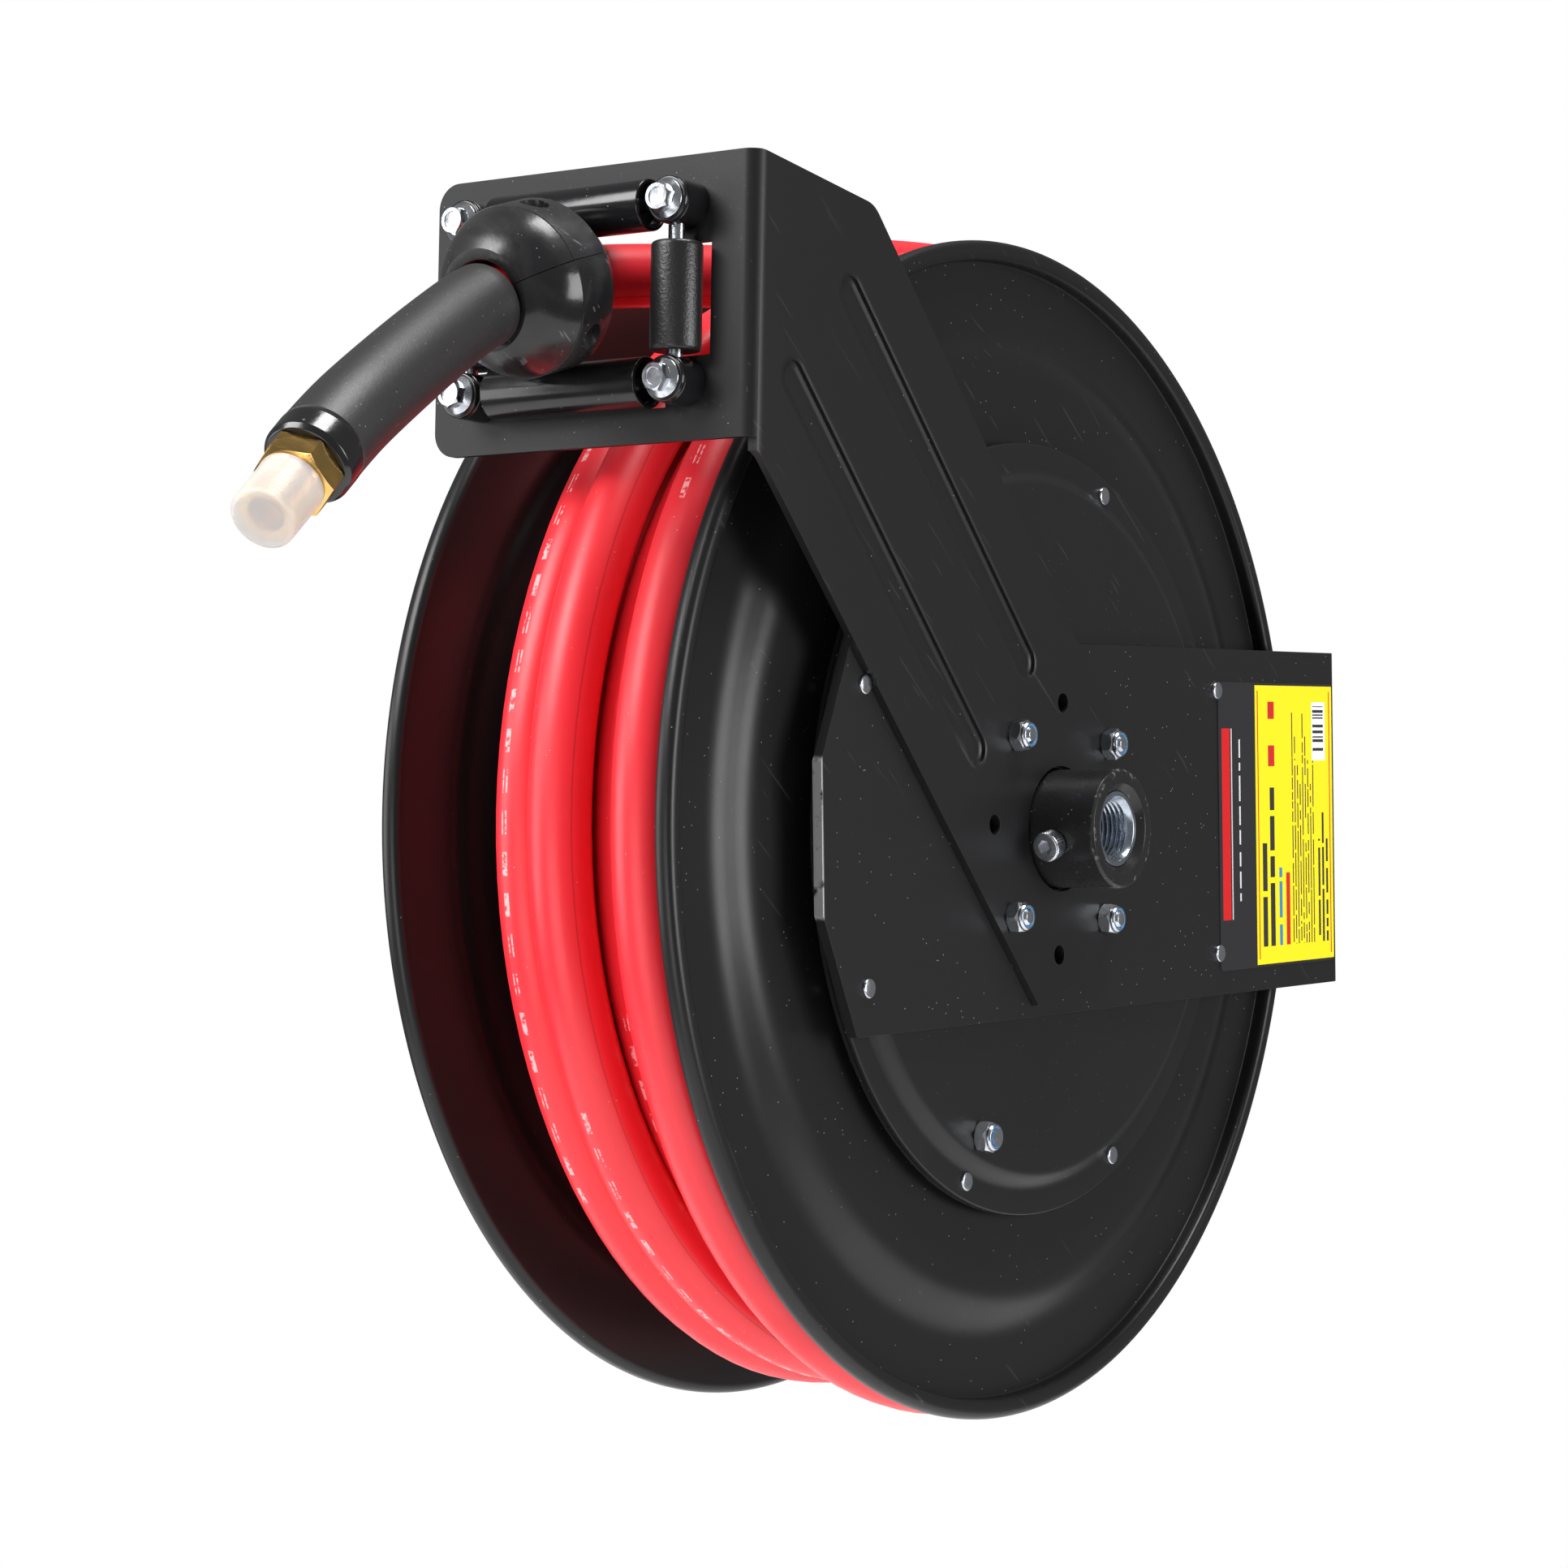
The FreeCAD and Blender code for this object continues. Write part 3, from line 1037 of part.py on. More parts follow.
def hose_end(wire):
    # the ball's axis follows the hose through it; its halves meet on a tilted plane
    rear, front = (Vector(*HOSE_ROUTE[i]) for i in BALL_CORNERS)
    heading = (front - rear).normalize()
    side = Vector(0, 0, 1).cross(heading).normalize()
    turn = Rotation(heading, side, heading.cross(side), "XYZ")
    roll = Placement(Vector(), Rotation(Vector(1, 0, 0), value("ball_roll")))
    place = Placement((rear + front) / 2, turn) * roll
    screws = []
    profile = ball_profile()
    screw_y = ("-ball_screw_y", "ball_screw_y")
    for label, sign in (("ball_upper", 1), ("ball_lower", -1)):
        body = new_body(label)
        revolve(body, label, profile)
        waste = new_sketch(body, label + "_waste", "XZ_Plane")
        edge = "-ball_seam" if sign < 0 else "ball_seam"
        limit = "40" if sign < 0 else "-40"
        add_polygon(waste, [("-40", limit), ("40", limit), ("40", edge), ("-40", edge)])
        cut(body, waste, label + "_split")
        bores = new_sketch(body, label + "_screws", "XY_Plane")
        for y in screw_y:
            add_circle(bores, "0.5", y, "2.2")
        cut(body, bores, label + "_screw_bores")
        wells = new_sketch(body, label + "_wells", "XY_Plane", "9" if sign > 0 else "-9")
        for y in screw_y:
            add_circle(wells, "0.5", y, "4")
        well = body.newObject("PartDesign::Pocket", label + "_well_cut")
        well.Profile = wells
        well.Type = "ThroughAll"
        well.Reversed = sign > 0
        body.Tip = well
        body.Placement = place
        keep(body, label)
    for i, y in enumerate(screw_y):
        upward = Rotation(Vector(1, 0, 0), Vector(0, 0, 1))
        seat = place * Placement(Vector(0.5, value(y), 9), upward)
        head = primitive("Cylinder", "ball_screw_head_%d" % i, seat, Radius="3.7", Height="3")
        shank = primitive("Cylinder", "ball_screw_shank_%d" % i, ahead(seat, "-17"), Radius="2.05",
                          Height="17")
        screws.append(fuse("ball_screw_%d" % i, head, shank))
    group("ball_screws", screws)

    # bend restrictor: a tube round the hose from just ahead of the ball to the end ring
    end = Vector(*HOSE_ROUTE[-1])
    tip = (end - Vector(*HOSE_ROUTE[-2])).normalize()
    ring_start = end - tip * value("end_ring_long")
    mouth = 2 * BALL_CORNERS[1] - 1
    arc = wire.Edges[mouth]
    first, last = arc.FirstParameter, arc.LastParameter
    first_edge = arc.Curve.toShape(first + (last - first) * value("sleeve_start"), last)
    last_edge = Part.LineSegment(wire.Edges[-1].valueAt(wire.Edges[-1].FirstParameter),
                                 ring_start).toShape()
    run = Part.Wire([first_edge] + wire.Edges[mouth + 1:-1] + [last_edge])
    start = run.Edges[0].valueAt(run.Edges[0].FirstParameter)
    direction = run.Edges[0].tangentAt(run.Edges[0].FirstParameter)
    tubes = []
    for radius in ("sleeve_r", "sleeve_bore_r"):
        section = Part.Wire([Part.Circle(start, direction, value(radius)).toShape()])
        tubes.append(run.makePipeShell([section], True, False))
    item = DOC.addObject("Part::Feature", "bend_restrictor")
    item.Shape = tubes[0].cut(tubes[1])
    keep(item, "bend_restrictor")
    turned("end_ring",
           [("0", "sleeve_bore_r"), ("0", "end_ring_r"), ("end_ring_long - 1", "end_ring_r"),
            ("end_ring_long", "end_ring_r - 1"), ("end_ring_long", "sleeve_bore_r")],
           along(tip, ring_start))
    seat = along(tip, end)
    hexagon = primitive("Prism", "fitting_hexagon", seat, Polygon=6, Circumradius="fitting_hex_r",
                        Height="fitting_hex")
    thread = primitive("Cylinder", "fitting_thread", ahead(seat, "fitting_hex"), Radius="thread_r",
                       Height="thread_long")
    bore = primitive("Cylinder", "fitting_bore", seat, Radius="fitting_bore_r",
                     Height="fitting_hex + thread_long")
    keep(subtract("hose_fitting", fuse("fitting_blank", hexagon, thread), bore), "hose_fitting")
    turned("thread_cap",
           [("0", "cap_bore_r"), ("0", "cap_bore_r + cap_wall"),
            ("cap_long - 1", "cap_bore_r + cap_wall"), ("cap_long", "cap_bore_r - 0.2"),
            ("cap_long", "0"), ("cap_long - 1.2", "0"), ("cap_long - 1.2", "cap_bore_r")],
           ahead(seat, "fitting_hex + 0.5"))


def rating_label():
    item = DOC.addObject("Part::Box", "label_sheet")
    for key, text in (("Length", "label_thick"), ("Width", "label_start - label_end"),
                      ("Height", "label_low + label_high")):
        setattr(item, key, value(text))
        bind(item, key, text)
    item.Placement = Placement(Vector(value("base_face_x"), -value("label_start"),
                                      -value("label_low")), Rotation())
    for i, spot in enumerate(rivet_spots((22.5, -22.5))):
        clear = primitive("Cylinder", "label_notch_%d" % i, on_axle("base_face_x - 1", spot),
                          Radius="rivet_head_r + 0.2", Height="3")
        item = subtract("label_cut_%d" % i, item, clear)
    keep(item, "rating_label")


def check_and_export():
    DOC.recompute()
    for item in DOC.Objects:
        if "Invalid" in item.State or "Error" in item.State:
            raise RuntimeError("%s failed: %s" % (item.Name, item.State))
    os.makedirs("parts", exist_ok=True)
    for item in SUBPARTS:
        shape = item.Shape
        if shape.isNull() or not shape.isValid() or not shape.Solids:
            raise RuntimeError("%s has no valid solid" % item.Label)
        shape.exportStep("parts/%s.step" % item.Label)
        print("%-18s %d solid, %.0f mm3" % (item.Label, len(shape.Solids), shape.Volume))


base_plate()
guide_arm()
hub()
spring_case()
mainspring()
pawl_set()
roller_cage()
reel()
water_way()
hose_end(hose())
rating_label()
check_and_export()
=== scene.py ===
import json
import math

import bmesh
import bpy
from mathutils import Matrix, Vector

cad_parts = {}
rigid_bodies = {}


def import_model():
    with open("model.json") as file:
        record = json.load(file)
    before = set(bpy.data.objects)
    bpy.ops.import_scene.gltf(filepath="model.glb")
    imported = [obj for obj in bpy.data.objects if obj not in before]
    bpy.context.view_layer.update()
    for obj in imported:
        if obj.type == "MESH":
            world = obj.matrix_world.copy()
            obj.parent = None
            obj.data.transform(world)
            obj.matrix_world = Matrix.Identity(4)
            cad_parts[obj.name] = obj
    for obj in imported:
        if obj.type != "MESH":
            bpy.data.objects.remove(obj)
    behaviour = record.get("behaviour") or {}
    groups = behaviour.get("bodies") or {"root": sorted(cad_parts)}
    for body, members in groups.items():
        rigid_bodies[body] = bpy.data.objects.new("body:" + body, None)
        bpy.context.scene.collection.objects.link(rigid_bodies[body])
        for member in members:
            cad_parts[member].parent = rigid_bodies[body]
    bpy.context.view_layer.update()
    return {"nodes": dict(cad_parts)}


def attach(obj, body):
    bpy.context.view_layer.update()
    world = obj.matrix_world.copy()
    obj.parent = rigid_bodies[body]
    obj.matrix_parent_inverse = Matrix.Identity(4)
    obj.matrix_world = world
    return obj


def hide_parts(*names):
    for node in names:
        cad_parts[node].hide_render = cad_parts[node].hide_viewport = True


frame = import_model()

bl_info = {
    "name": "Hose reel maker",
    "version": (1, 0, 0),
    "blender": (4, 5, 0),
    "location": "View3D > Sidebar > Hose reel",
    "description": "Builds the looks of a spring-rewind hose reel round its CAD parts",
    "category": "Object",
}

MM = 0.001
AXLE_Y = -213.0          # axle to wall, millimetres
ARM_LEAN = math.radians(-3)
PLATE_FRONT = -184.3     # guide plate's front face in the leaning arm's own frame
NUT_CIRCLE = 42.7
RIVET_CIRCLE = 125.0
SHAFT_FACE = 84.3        # inlet's mouth, along the axle
INLET_DEPTH = 16.0
INLET_PITCH = 1.81
FITTING_PITCH = 1.34
RIB_SLOPE = math.radians(42)     # pressed ribs' tilt from upright
RIB_ENDS = (0.056, 0.209)        # along the rib from the axle, metres
RIB_OFFSET = 0.0215              # rib's middle from the arm's middle, metres
FLANGE_MIRROR = -23.0    # far flange's place is this minus the near flange's

# Free hose: from the top of the winding, through the rollers and the ball, to its fitting.
FREE_HOSE = [(28, -213, 189.5), (24.5, -250, 189.3), (19.5, -290, 185), (14, -325, 179.8),
             (7, -361, 177.7), (-2.4, -396, 174.25), (-2.4, -436.6, 163.75), (4.5, -468, 149.5),
             (12.5, -503, 132), (17.8, -528, 118.3), (20, -543.5, 106.5)]

# Lengths in metres that the hose's print is laid out on
WOUND_LENGTH = 14.9
FREE_LENGTH = 0.35

# Turns of the winding from the drum outwards: place along the axle and radius.
TURNS = [(-51, 135.5), (-33.5, 135.5), (-13, 135.5), (7.5, 135.5), (28, 135.5),
         (18, 153), (-2.5, 153), (-23, 153), (-42, 153),
         (-13, 171), (7.5, 171), (28, 171), (-22, 183), (-4, 190), (28, 189.5)]


# Settings a user would change

class ReelLook(bpy.types.PropertyGroup):
    """Sizes and colours of the hose reel."""
    paint: bpy.props.FloatVectorProperty(
        name="Paint", description="Powder coat on the steel sheet", subtype="COLOR",
        size=3, default=(0.011, 0.011, 0.012), min=0, max=1)
    hose_red: bpy.props.FloatVectorProperty(
        name="Hose", description="Rubber of the hose", subtype="COLOR",
        size=3, default=(0.84, 0.022, 0.036), min=0, max=1)
    rubber: bpy.props.FloatVectorProperty(
        name="Rubber", description="Bend sleeve and ball stop", subtype="COLOR",
        size=3, default=(0.016, 0.016, 0.017), min=0, max=1)
    brass: bpy.props.FloatVectorProperty(
        name="Brass", description="Fitting on the hose's end", subtype="COLOR",
        size=3, default=(0.74, 0.49, 0.17), min=0, max=1)
    zinc: bpy.props.FloatVectorProperty(
        name="Zinc", description="Plated bolts, nuts and rivets", subtype="COLOR",
        size=3, default=(0.68, 0.70, 0.73), min=0, max=1)
    label_yellow: bpy.props.FloatVectorProperty(
        name="Label", description="Ground of the rating label", subtype="COLOR",
        size=3, default=(0.93, 0.78, 0.01), min=0, max=1)
    hose_radius: bpy.props.FloatProperty(
        name="Hose radius", description="Outside radius of the hose", subtype="DISTANCE",
        unit="LENGTH", default=0.01, min=0.005, max=0.012)
    sleeve_radius: bpy.props.FloatProperty(
        name="Sleeve radius", description="Outside radius of the bend sleeve",
        subtype="DISTANCE", unit="LENGTH", default=0.0129, min=0.011, max=0.015)
    rim_steps: bpy.props.IntProperty(
        name="Rim steps", description="Sides round each flange", default=224, min=48, max=320)


def look():
    return bpy.context.scene.reel_look


# Places

def on_axle(x, y=0.0, z=0.0, turn=0.0):
    """Frame on the axle, its own X along the axle."""
    return (Matrix.Translation(Vector((x, AXLE_Y + y, z)) * MM)
            @ Matrix.Rotation(turn, 4, "X"))


def aimed_turn(heading):
    """Turn that takes X to a heading."""
    return Vector((1, 0, 0)).rotation_difference(Vector(heading)).to_matrix().to_4x4()


def on_arm(x, y, z, heading=(1, 0, 0)):
    """Frame on the leaning arm, its own X along a heading."""
    lean = Matrix.Translation(Vector((0, AXLE_Y, 0)) * MM) @ Matrix.Rotation(ARM_LEAN, 4, "X")
    return lean @ Matrix.Translation(Vector((x, y, z)) * MM) @ aimed_turn(heading)


def circle_spots(radius, degrees):
    return [(radius * math.cos(math.radians(a)), radius * math.sin(math.radians(a)))
            for a in degrees]


# Mesh making, in millimetres until the piece is finished

def rounded(outline, segments=5):
    """Outline whose corners with a third value are rounded to about that radius."""
    made = []
    count = len(outline)
    for i, corner in enumerate(outline):
        here = Vector(corner[:2])
        if len(corner) < 3:
            made.append(here)
            continue
        before = Vector(outline[i - 1][:2]) - here
        after = Vector(outline[(i + 1) % count][:2]) - here
        reach = corner[2] / math.tan(before.angle(after) / 2)
        reach = min(reach, before.length * 0.49, after.length * 0.49)
        start = here + before.normalized() * reach
        end = here + after.normalized() * reach
        for step in range(segments + 1):
            t = step / segments
            made.append(start * (1 - t) ** 2 + here * 2 * t * (1 - t) + end * t * t)
    return made


def spun(outline, steps=64, segments=5):
    """Solid of revolution about X from an outline of places along X and radii."""
    bm = bmesh.new()
    verts = [bm.verts.new((x, 0, r)) for x, r in rounded(outline, segments)]
    edges = []
    for a, b in zip(verts, verts[1:] + verts[:1]):
        if a.co.z > 1e-6 or b.co.z > 1e-6:
            edges.append(bm.edges.new((a, b)))
    bmesh.ops.spin(bm, geom=verts + edges, cent=(0, 0, 0), axis=(1, 0, 0),
                   angle=math.tau, steps=steps, use_merge=True)
    tidy(bm)
    return bm


def tidy(bm):
    bmesh.ops.remove_doubles(bm, verts=bm.verts, dist=1e-4)
    bmesh.ops.dissolve_degenerate(bm, edges=bm.edges, dist=1e-5)
    bmesh.ops.recalc_face_normals(bm, faces=bm.faces)


def rod(radius, low, high, sides=32):
    """Plain prism along X, for cutting and for small blanks."""
    bm = bmesh.new()
    bmesh.ops.create_cone(bm, cap_ends=True, segments=sides, radius1=radius, radius2=radius,
                          depth=high - low)
    turn = Matrix.Rotation(math.pi / 2, 4, "Y")
    bm.transform(Matrix.Translation(((low + high) / 2, 0, 0)) @ turn)
    return bm


def block(low, high):
    bm = bmesh.new()
    bmesh.ops.create_cube(bm, size=1)
    low, high = Vector(low), Vector(high)
    size = high - low
    bm.transform(Matrix.Translation((low + high) / 2) @ Matrix.Diagonal((*size, 1)))
    return bm


def moved(bm, place):
    bm.transform(place)
    return bm


def shift(x=0.0, y=0.0, z=0.0):
    return Matrix.Translation((x, y, z))


def carve(base, tool, operation="DIFFERENCE"):
    """Booleans one bmesh with another and gives the result as a new bmesh."""
    carriers = []
    for bm in (base, tool):
        mesh = bpy.data.meshes.new("blank")
        bm.to_mesh(mesh)
        bm.free()
        carrier = bpy.data.objects.new("blank", mesh)
        bpy.context.scene.collection.objects.link(carrier)
        carriers.append(carrier)
    cutter = carriers[0].modifiers.new("cut", "BOOLEAN")
    cutter.operation = operation
    cutter.solver = "EXACT"
    cutter.object = carriers[1]
    bpy.context.view_layer.update()
    made = bmesh.new()
    made.from_object(carriers[0], bpy.context.evaluated_depsgraph_get())
    for carrier in carriers:
        mesh = carrier.data
        bpy.data.objects.remove(carrier)
        bpy.data.meshes.remove(mesh)
    return made


def gathered(parts):
    """One bmesh from several (bmesh, place in metres) pairs, each scaled from millimetres."""
    whole = bmesh.new()
    for bm, place in parts:
        mesh = bpy.data.meshes.new("part")
        bm.to_mesh(mesh)
        mesh.transform(place @ Matrix.Scale(MM, 4))
        whole.from_mesh(mesh)
        bpy.data.meshes.remove(mesh)
    return whole


def finished(bm, name, material, body, nodes=(), sharp=35):
    """Mesh piece at the origin, with its place in its mesh, riding on its body."""
    mesh = bpy.data.meshes.new(name)
    bm.to_mesh(mesh)
    bm.free()
    for face in mesh.polygons:
        face.use_smooth = True
    mesh.set_sharp_from_angle(angle=math.radians(sharp))
    mesh.materials.append(material)
    piece = bpy.data.objects.new(name, mesh)
    bpy.context.scene.collection.objects.link(piece)
    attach(piece, body)
    if nodes:
        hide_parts(*nodes)
    return piece


def turned(name, outline, place, material, body, nodes=(), steps=64, segments=5):
    return finished(gathered([(spun(outline, steps, segments), place)]), name, material, body,
                    nodes)


def softened(node, name, material, body, width):
    """CAD sheet-metal node with its sharp edges eased."""
    bm = bmesh.new()
    bm.from_mesh(frame["nodes"][node].data)
    bmesh.ops.remove_doubles(bm, verts=bm.verts, dist=1e-6)
    bmesh.ops.dissolve_limit(bm, angle_limit=math.radians(1.5), verts=bm.verts, edges=bm.edges)
    piece = finished(bm, name, material, body, (node,), sharp=30)
    ease = piece.modifiers.new("eased edges", "BEVEL")
    ease.width = width * MM
    ease.segments = 3
    ease.limit_method = "ANGLE"
    ease.angle_limit = math.radians(40)
    ease.harden_normals = True
    ease.use_clamp_overlap = True
    return piece


def route_points(points, name):
    """Points of the smooth line through the route, in metres."""
    curve = hose_curve(name, points, 0)
    holder = bpy.data.objects.new(name, curve)
    mesh = bpy.data.meshes.new_from_object(holder)
    line = [v.co.copy() for v in mesh.vertices]
    bpy.data.meshes.remove(mesh)
    bpy.data.objects.remove(holder)
    bpy.data.curves.remove(curve)
    return line


def hose_curve(name, points, radius, resolution=12):
    curve = bpy.data.curves.new(name, "CURVE")
    curve.dimensions = "3D"
    curve.resolution_u = resolution
    curve.bevel_depth = radius
    curve.bevel_resolution = 6
    curve.use_fill_caps = True
    spline = curve.splines.new("NURBS")
    spline.points.add(len(points) - 1)
    for spot, place in zip(spline.points, points):
        spot.co = (place[0] * MM, place[1] * MM, place[2] * MM, 1)
    spline.order_u = 3
    spline.use_endpoint_u = True
    spline.use_smooth = True
    return curve


def line_length(line):
    return sum((b - a).length for a, b in zip(line, line[1:]))


def station(line, distance):
    """Point and heading at a distance from the line's end, going back along it."""
    gone = 0.0
    for b, a in zip(line[::-1], line[-2::-1]):
        step = (b - a).length
        if gone + step >= distance:
            return b.lerp(a, (distance - gone) / step), (b - a).normalized()
        gone += step
    return line[0], (line[1] - line[0]).normalized()


def tube_along(line, stations, sides=48):
    """Closed tube through rings at (distance back from the line's end, radius), in metres."""
    places = []
    for distance, radius in stations:
        spot, heading = station(line, distance)
        turn = Vector((0, 0, 1)).rotation_difference(heading).to_matrix().to_4x4()
        places.append(Matrix.Translation(spot) @ turn @ Matrix.Scale(radius, 4))
    bm = bmesh.new()
    bmesh.ops.create_circle(bm, segments=sides, radius=1, matrix=places[0])
    ring = list(bm.edges)
    for before, after in zip(places, places[1:] + places[:1]):
        drawn = bmesh.ops.extrude_edge_only(bm, edges=ring)["geom"]
        ring = [e for e in drawn if isinstance(e, bmesh.types.BMEdge)]
        verts = [v for v in drawn if isinstance(v, bmesh.types.BMVert)]
        bmesh.ops.transform(bm, matrix=after @ before.inverted(), verts=verts)
    bmesh.ops.remove_doubles(bm, verts=bm.verts, dist=1e-6)
    bmesh.ops.recalc_face_normals(bm, faces=bm.faces)
    return bm


# Finishes

class Graph:
    """Short way to lay out nodes: constants and sockets are given by input name."""

    def __init__(self, tree):
        self.tree = tree

    def add(self, kind, inputs=None, **settings):
        node = self.tree.nodes.new(kind)
        for key, setting in settings.items():
            setattr(node, key, setting)
        for key, given in (inputs or {}).items():
            if isinstance(given, bpy.types.NodeSocket):
                self.tree.links.new(given, node.inputs[key])
            else:
                node.inputs[key].default_value = given
        return node

    def math(self, operation, a, b=0.0, c=0.0):
        return self.add("ShaderNodeMath", {0: a, 1: b, 2: c}, operation=operation).outputs[0]

    def ramp(self, given, low, high, start=0.0, end=1.0):
        return self.add("ShaderNodeMapRange", {"Value": given, "From Min": low, "From Max": high,
                                               "To Min": start, "To Max": end}).outputs[0]

    def blend(self, factor, first, second):
        return self.add("ShaderNodeMix", {0: factor, 6: first, 7: second},
                        data_type="RGBA").outputs[2]

    def band(self, given, low, high, soft):
        """1 between low and high, falling to 0 over soft on each side."""
        rise = self.ramp(given, low - soft, low)
        fall = self.ramp(given, high, high + soft, 1.0, 0.0)
        return self.math("MULTIPLY", rise, fall)


def effect(name, inputs, outputs):
    """Node group for an effect that several finishes share."""
    group = bpy.data.node_groups.new(name, "ShaderNodeTree")
    for label, kind, default in inputs:
        socket = group.interface.new_socket(label, in_out="INPUT", socket_type=kind)
        if default is not None:
            socket.default_value = default
    for label, kind in outputs:
        group.interface.new_socket(label, in_out="OUTPUT", socket_type=kind)
    graph = Graph(group)
    entry = group.nodes.new("NodeGroupInput")
    leave = group.nodes.new("NodeGroupOutput")
    return group, graph, entry.outputs, leave.inputs


def make_effects():
    number, vector = "NodeSocketFloat", "NodeSocketVector"
    group, g, given, out = effect("dust specks", [("Vector", vector, None),
                                                  ("Scale", number, 300.0),
                                                  ("Density", number, 0.1)], [("Mask", number)])
    cells = g.add("ShaderNodeTexVoronoi", {"Vector": given["Vector"], "Scale": given["Scale"]})
    chosen = g.math("LESS_THAN", g.add("ShaderNodeSeparateColor",
                                       {0: cells.outputs["Color"]}).outputs[0], given["Density"])
    dot = g.ramp(cells.outputs["Distance"], 0.10, 0.24, 1.0, 0.0)
    group.links.new(g.math("MULTIPLY", dot, chosen), out["Mask"])

    group, g, given, out = effect("surface grain", [("Vector", vector, None),
                                                    ("Scale", number, 900.0)],
                                  [("Height", number)])
    fine = g.add("ShaderNodeTexNoise", {"Vector": given["Vector"], "Scale": given["Scale"],
                                        "Detail": 3.0, "Roughness": 0.6})
    broad = g.add("ShaderNodeTexNoise", {"Vector": given["Vector"], "Detail": 2.0,
                                         "Scale": g.math("MULTIPLY", given["Scale"], 0.22)})
    mixed = g.math("MULTIPLY_ADD", broad.outputs["Fac"], 0.6, fine.outputs["Fac"])
    group.links.new(mixed, out["Height"])

    group, g, given, out = effect("hand smudges", [("Vector", vector, None),
                                                   ("Scale", number, 14.0)], [("Amount", number)])
    cloud = g.add("ShaderNodeTexNoise", {"Vector": given["Vector"], "Scale": given["Scale"],
                                         "Detail": 5.0, "Roughness": 0.62, "Distortion": 0.8})
    group.links.new(g.ramp(cloud.outputs["Fac"], 0.38, 0.68), out["Amount"])

    group, g, given, out = effect("hairline scratches", [("Vector", vector, None),
                                                         ("Scale", number, 600.0),
                                                         ("Amount", number, 0.5)],
                                  [("Mask", number)])
    bend = g.add("ShaderNodeTexNoise", {"Vector": given["Vector"], "Scale": 6.0})
    leaning = g.add("ShaderNodeVectorRotate", {"Vector": given["Vector"], "Angle": 0.7},
                    rotation_type="X_AXIS")
    long = g.add("ShaderNodeMapping", {"Vector": leaning.outputs[0], "Scale": (1.0, 0.05, 1.0)})
    lines = g.add("ShaderNodeTexNoise", {"Vector": long.outputs[0], "Scale": given["Scale"],
                                         "Detail": 1.0})
    level = g.ramp(lines.outputs["Fac"], 0.72, 0.74)
    where = g.ramp(bend.outputs["Fac"], 0.50, 0.60)
    both = g.math("MULTIPLY", level, where)
    group.links.new(g.math("MULTIPLY", both, given["Amount"]), out["Mask"])


def effect_node(graph, name, vector, **inputs):
    node = graph.add("ShaderNodeGroup", node_tree=bpy.data.node_groups[name])
    graph.tree.links.new(vector, node.inputs["Vector"])
    for key, given in inputs.items():
        node.inputs[key].default_value = given
    return node.outputs[0]


def coating(name, colour, roughness, metallic=0.0, grain=(900.0, 0.1), specks=(260.0, 0.05),
            speck_colour=(0.35, 0.35, 0.35), smudge=(12.0, 0.1), smudge_colour=None,
            scratch=0.0, overlay=None, specular=0.5, relief=None):
    """Finish from the shared effects. overlay may repaint colour, roughness and metal."""
    made = bpy.data.materials.new(name)
    made.use_nodes = True
    graph = Graph(made.node_tree)
    shader = made.node_tree.nodes["Principled BSDF"]
    where = graph.add("ShaderNodeTexCoord").outputs["Object"]
    smudges = effect_node(graph, "hand smudges", where, Scale=smudge[0])
    dust = effect_node(graph, "dust specks", where, Scale=specks[0], Density=specks[1])
    height = effect_node(graph, "surface grain", where, Scale=grain[0])
    base = (*colour, 1)
    second = (*(smudge_colour or [c * 0.75 for c in colour]), 1)
    shade = graph.blend(smudges, base, second)
    if specks[1] > 0:
        shade = graph.blend(graph.math("MULTIPLY", dust, 0.7), shade, (*speck_colour, 1))
    rough = graph.ramp(smudges, 0.0, 1.0, roughness - smudge[1] / 2, roughness + smudge[1] / 2)
    if scratch:
        marks = effect_node(graph, "hairline scratches", where, Amount=scratch)
        shade = graph.blend(marks, shade, (0.22, 0.22, 0.22, 1))
    metal = None
    if overlay:
        shade, rough, metal = overlay(graph, where, shade, rough)
    bump = graph.add("ShaderNodeBump", {"Height": height, "Strength": grain[1],
                                        "Distance": 0.0004})
    if relief:
        bump = graph.add("ShaderNodeBump", {"Height": relief(graph, where), "Strength": 1.0,
                                            "Distance": 0.0012, "Normal": bump.outputs[0]})
    links = made.node_tree.links
    links.new(shade, shader.inputs["Base Color"])
    links.new(rough, shader.inputs["Roughness"])
    links.new(bump.outputs[0], shader.inputs["Normal"])
    shader.inputs["Metallic"].default_value = metallic
    if metal is not None:
        links.new(metal, shader.inputs["Metallic"])
    shader.inputs["Specular IOR Level"].default_value = specular
    return made


def split(graph, vector):
    return graph.add("ShaderNodeSeparateXYZ", {0: vector}).outputs


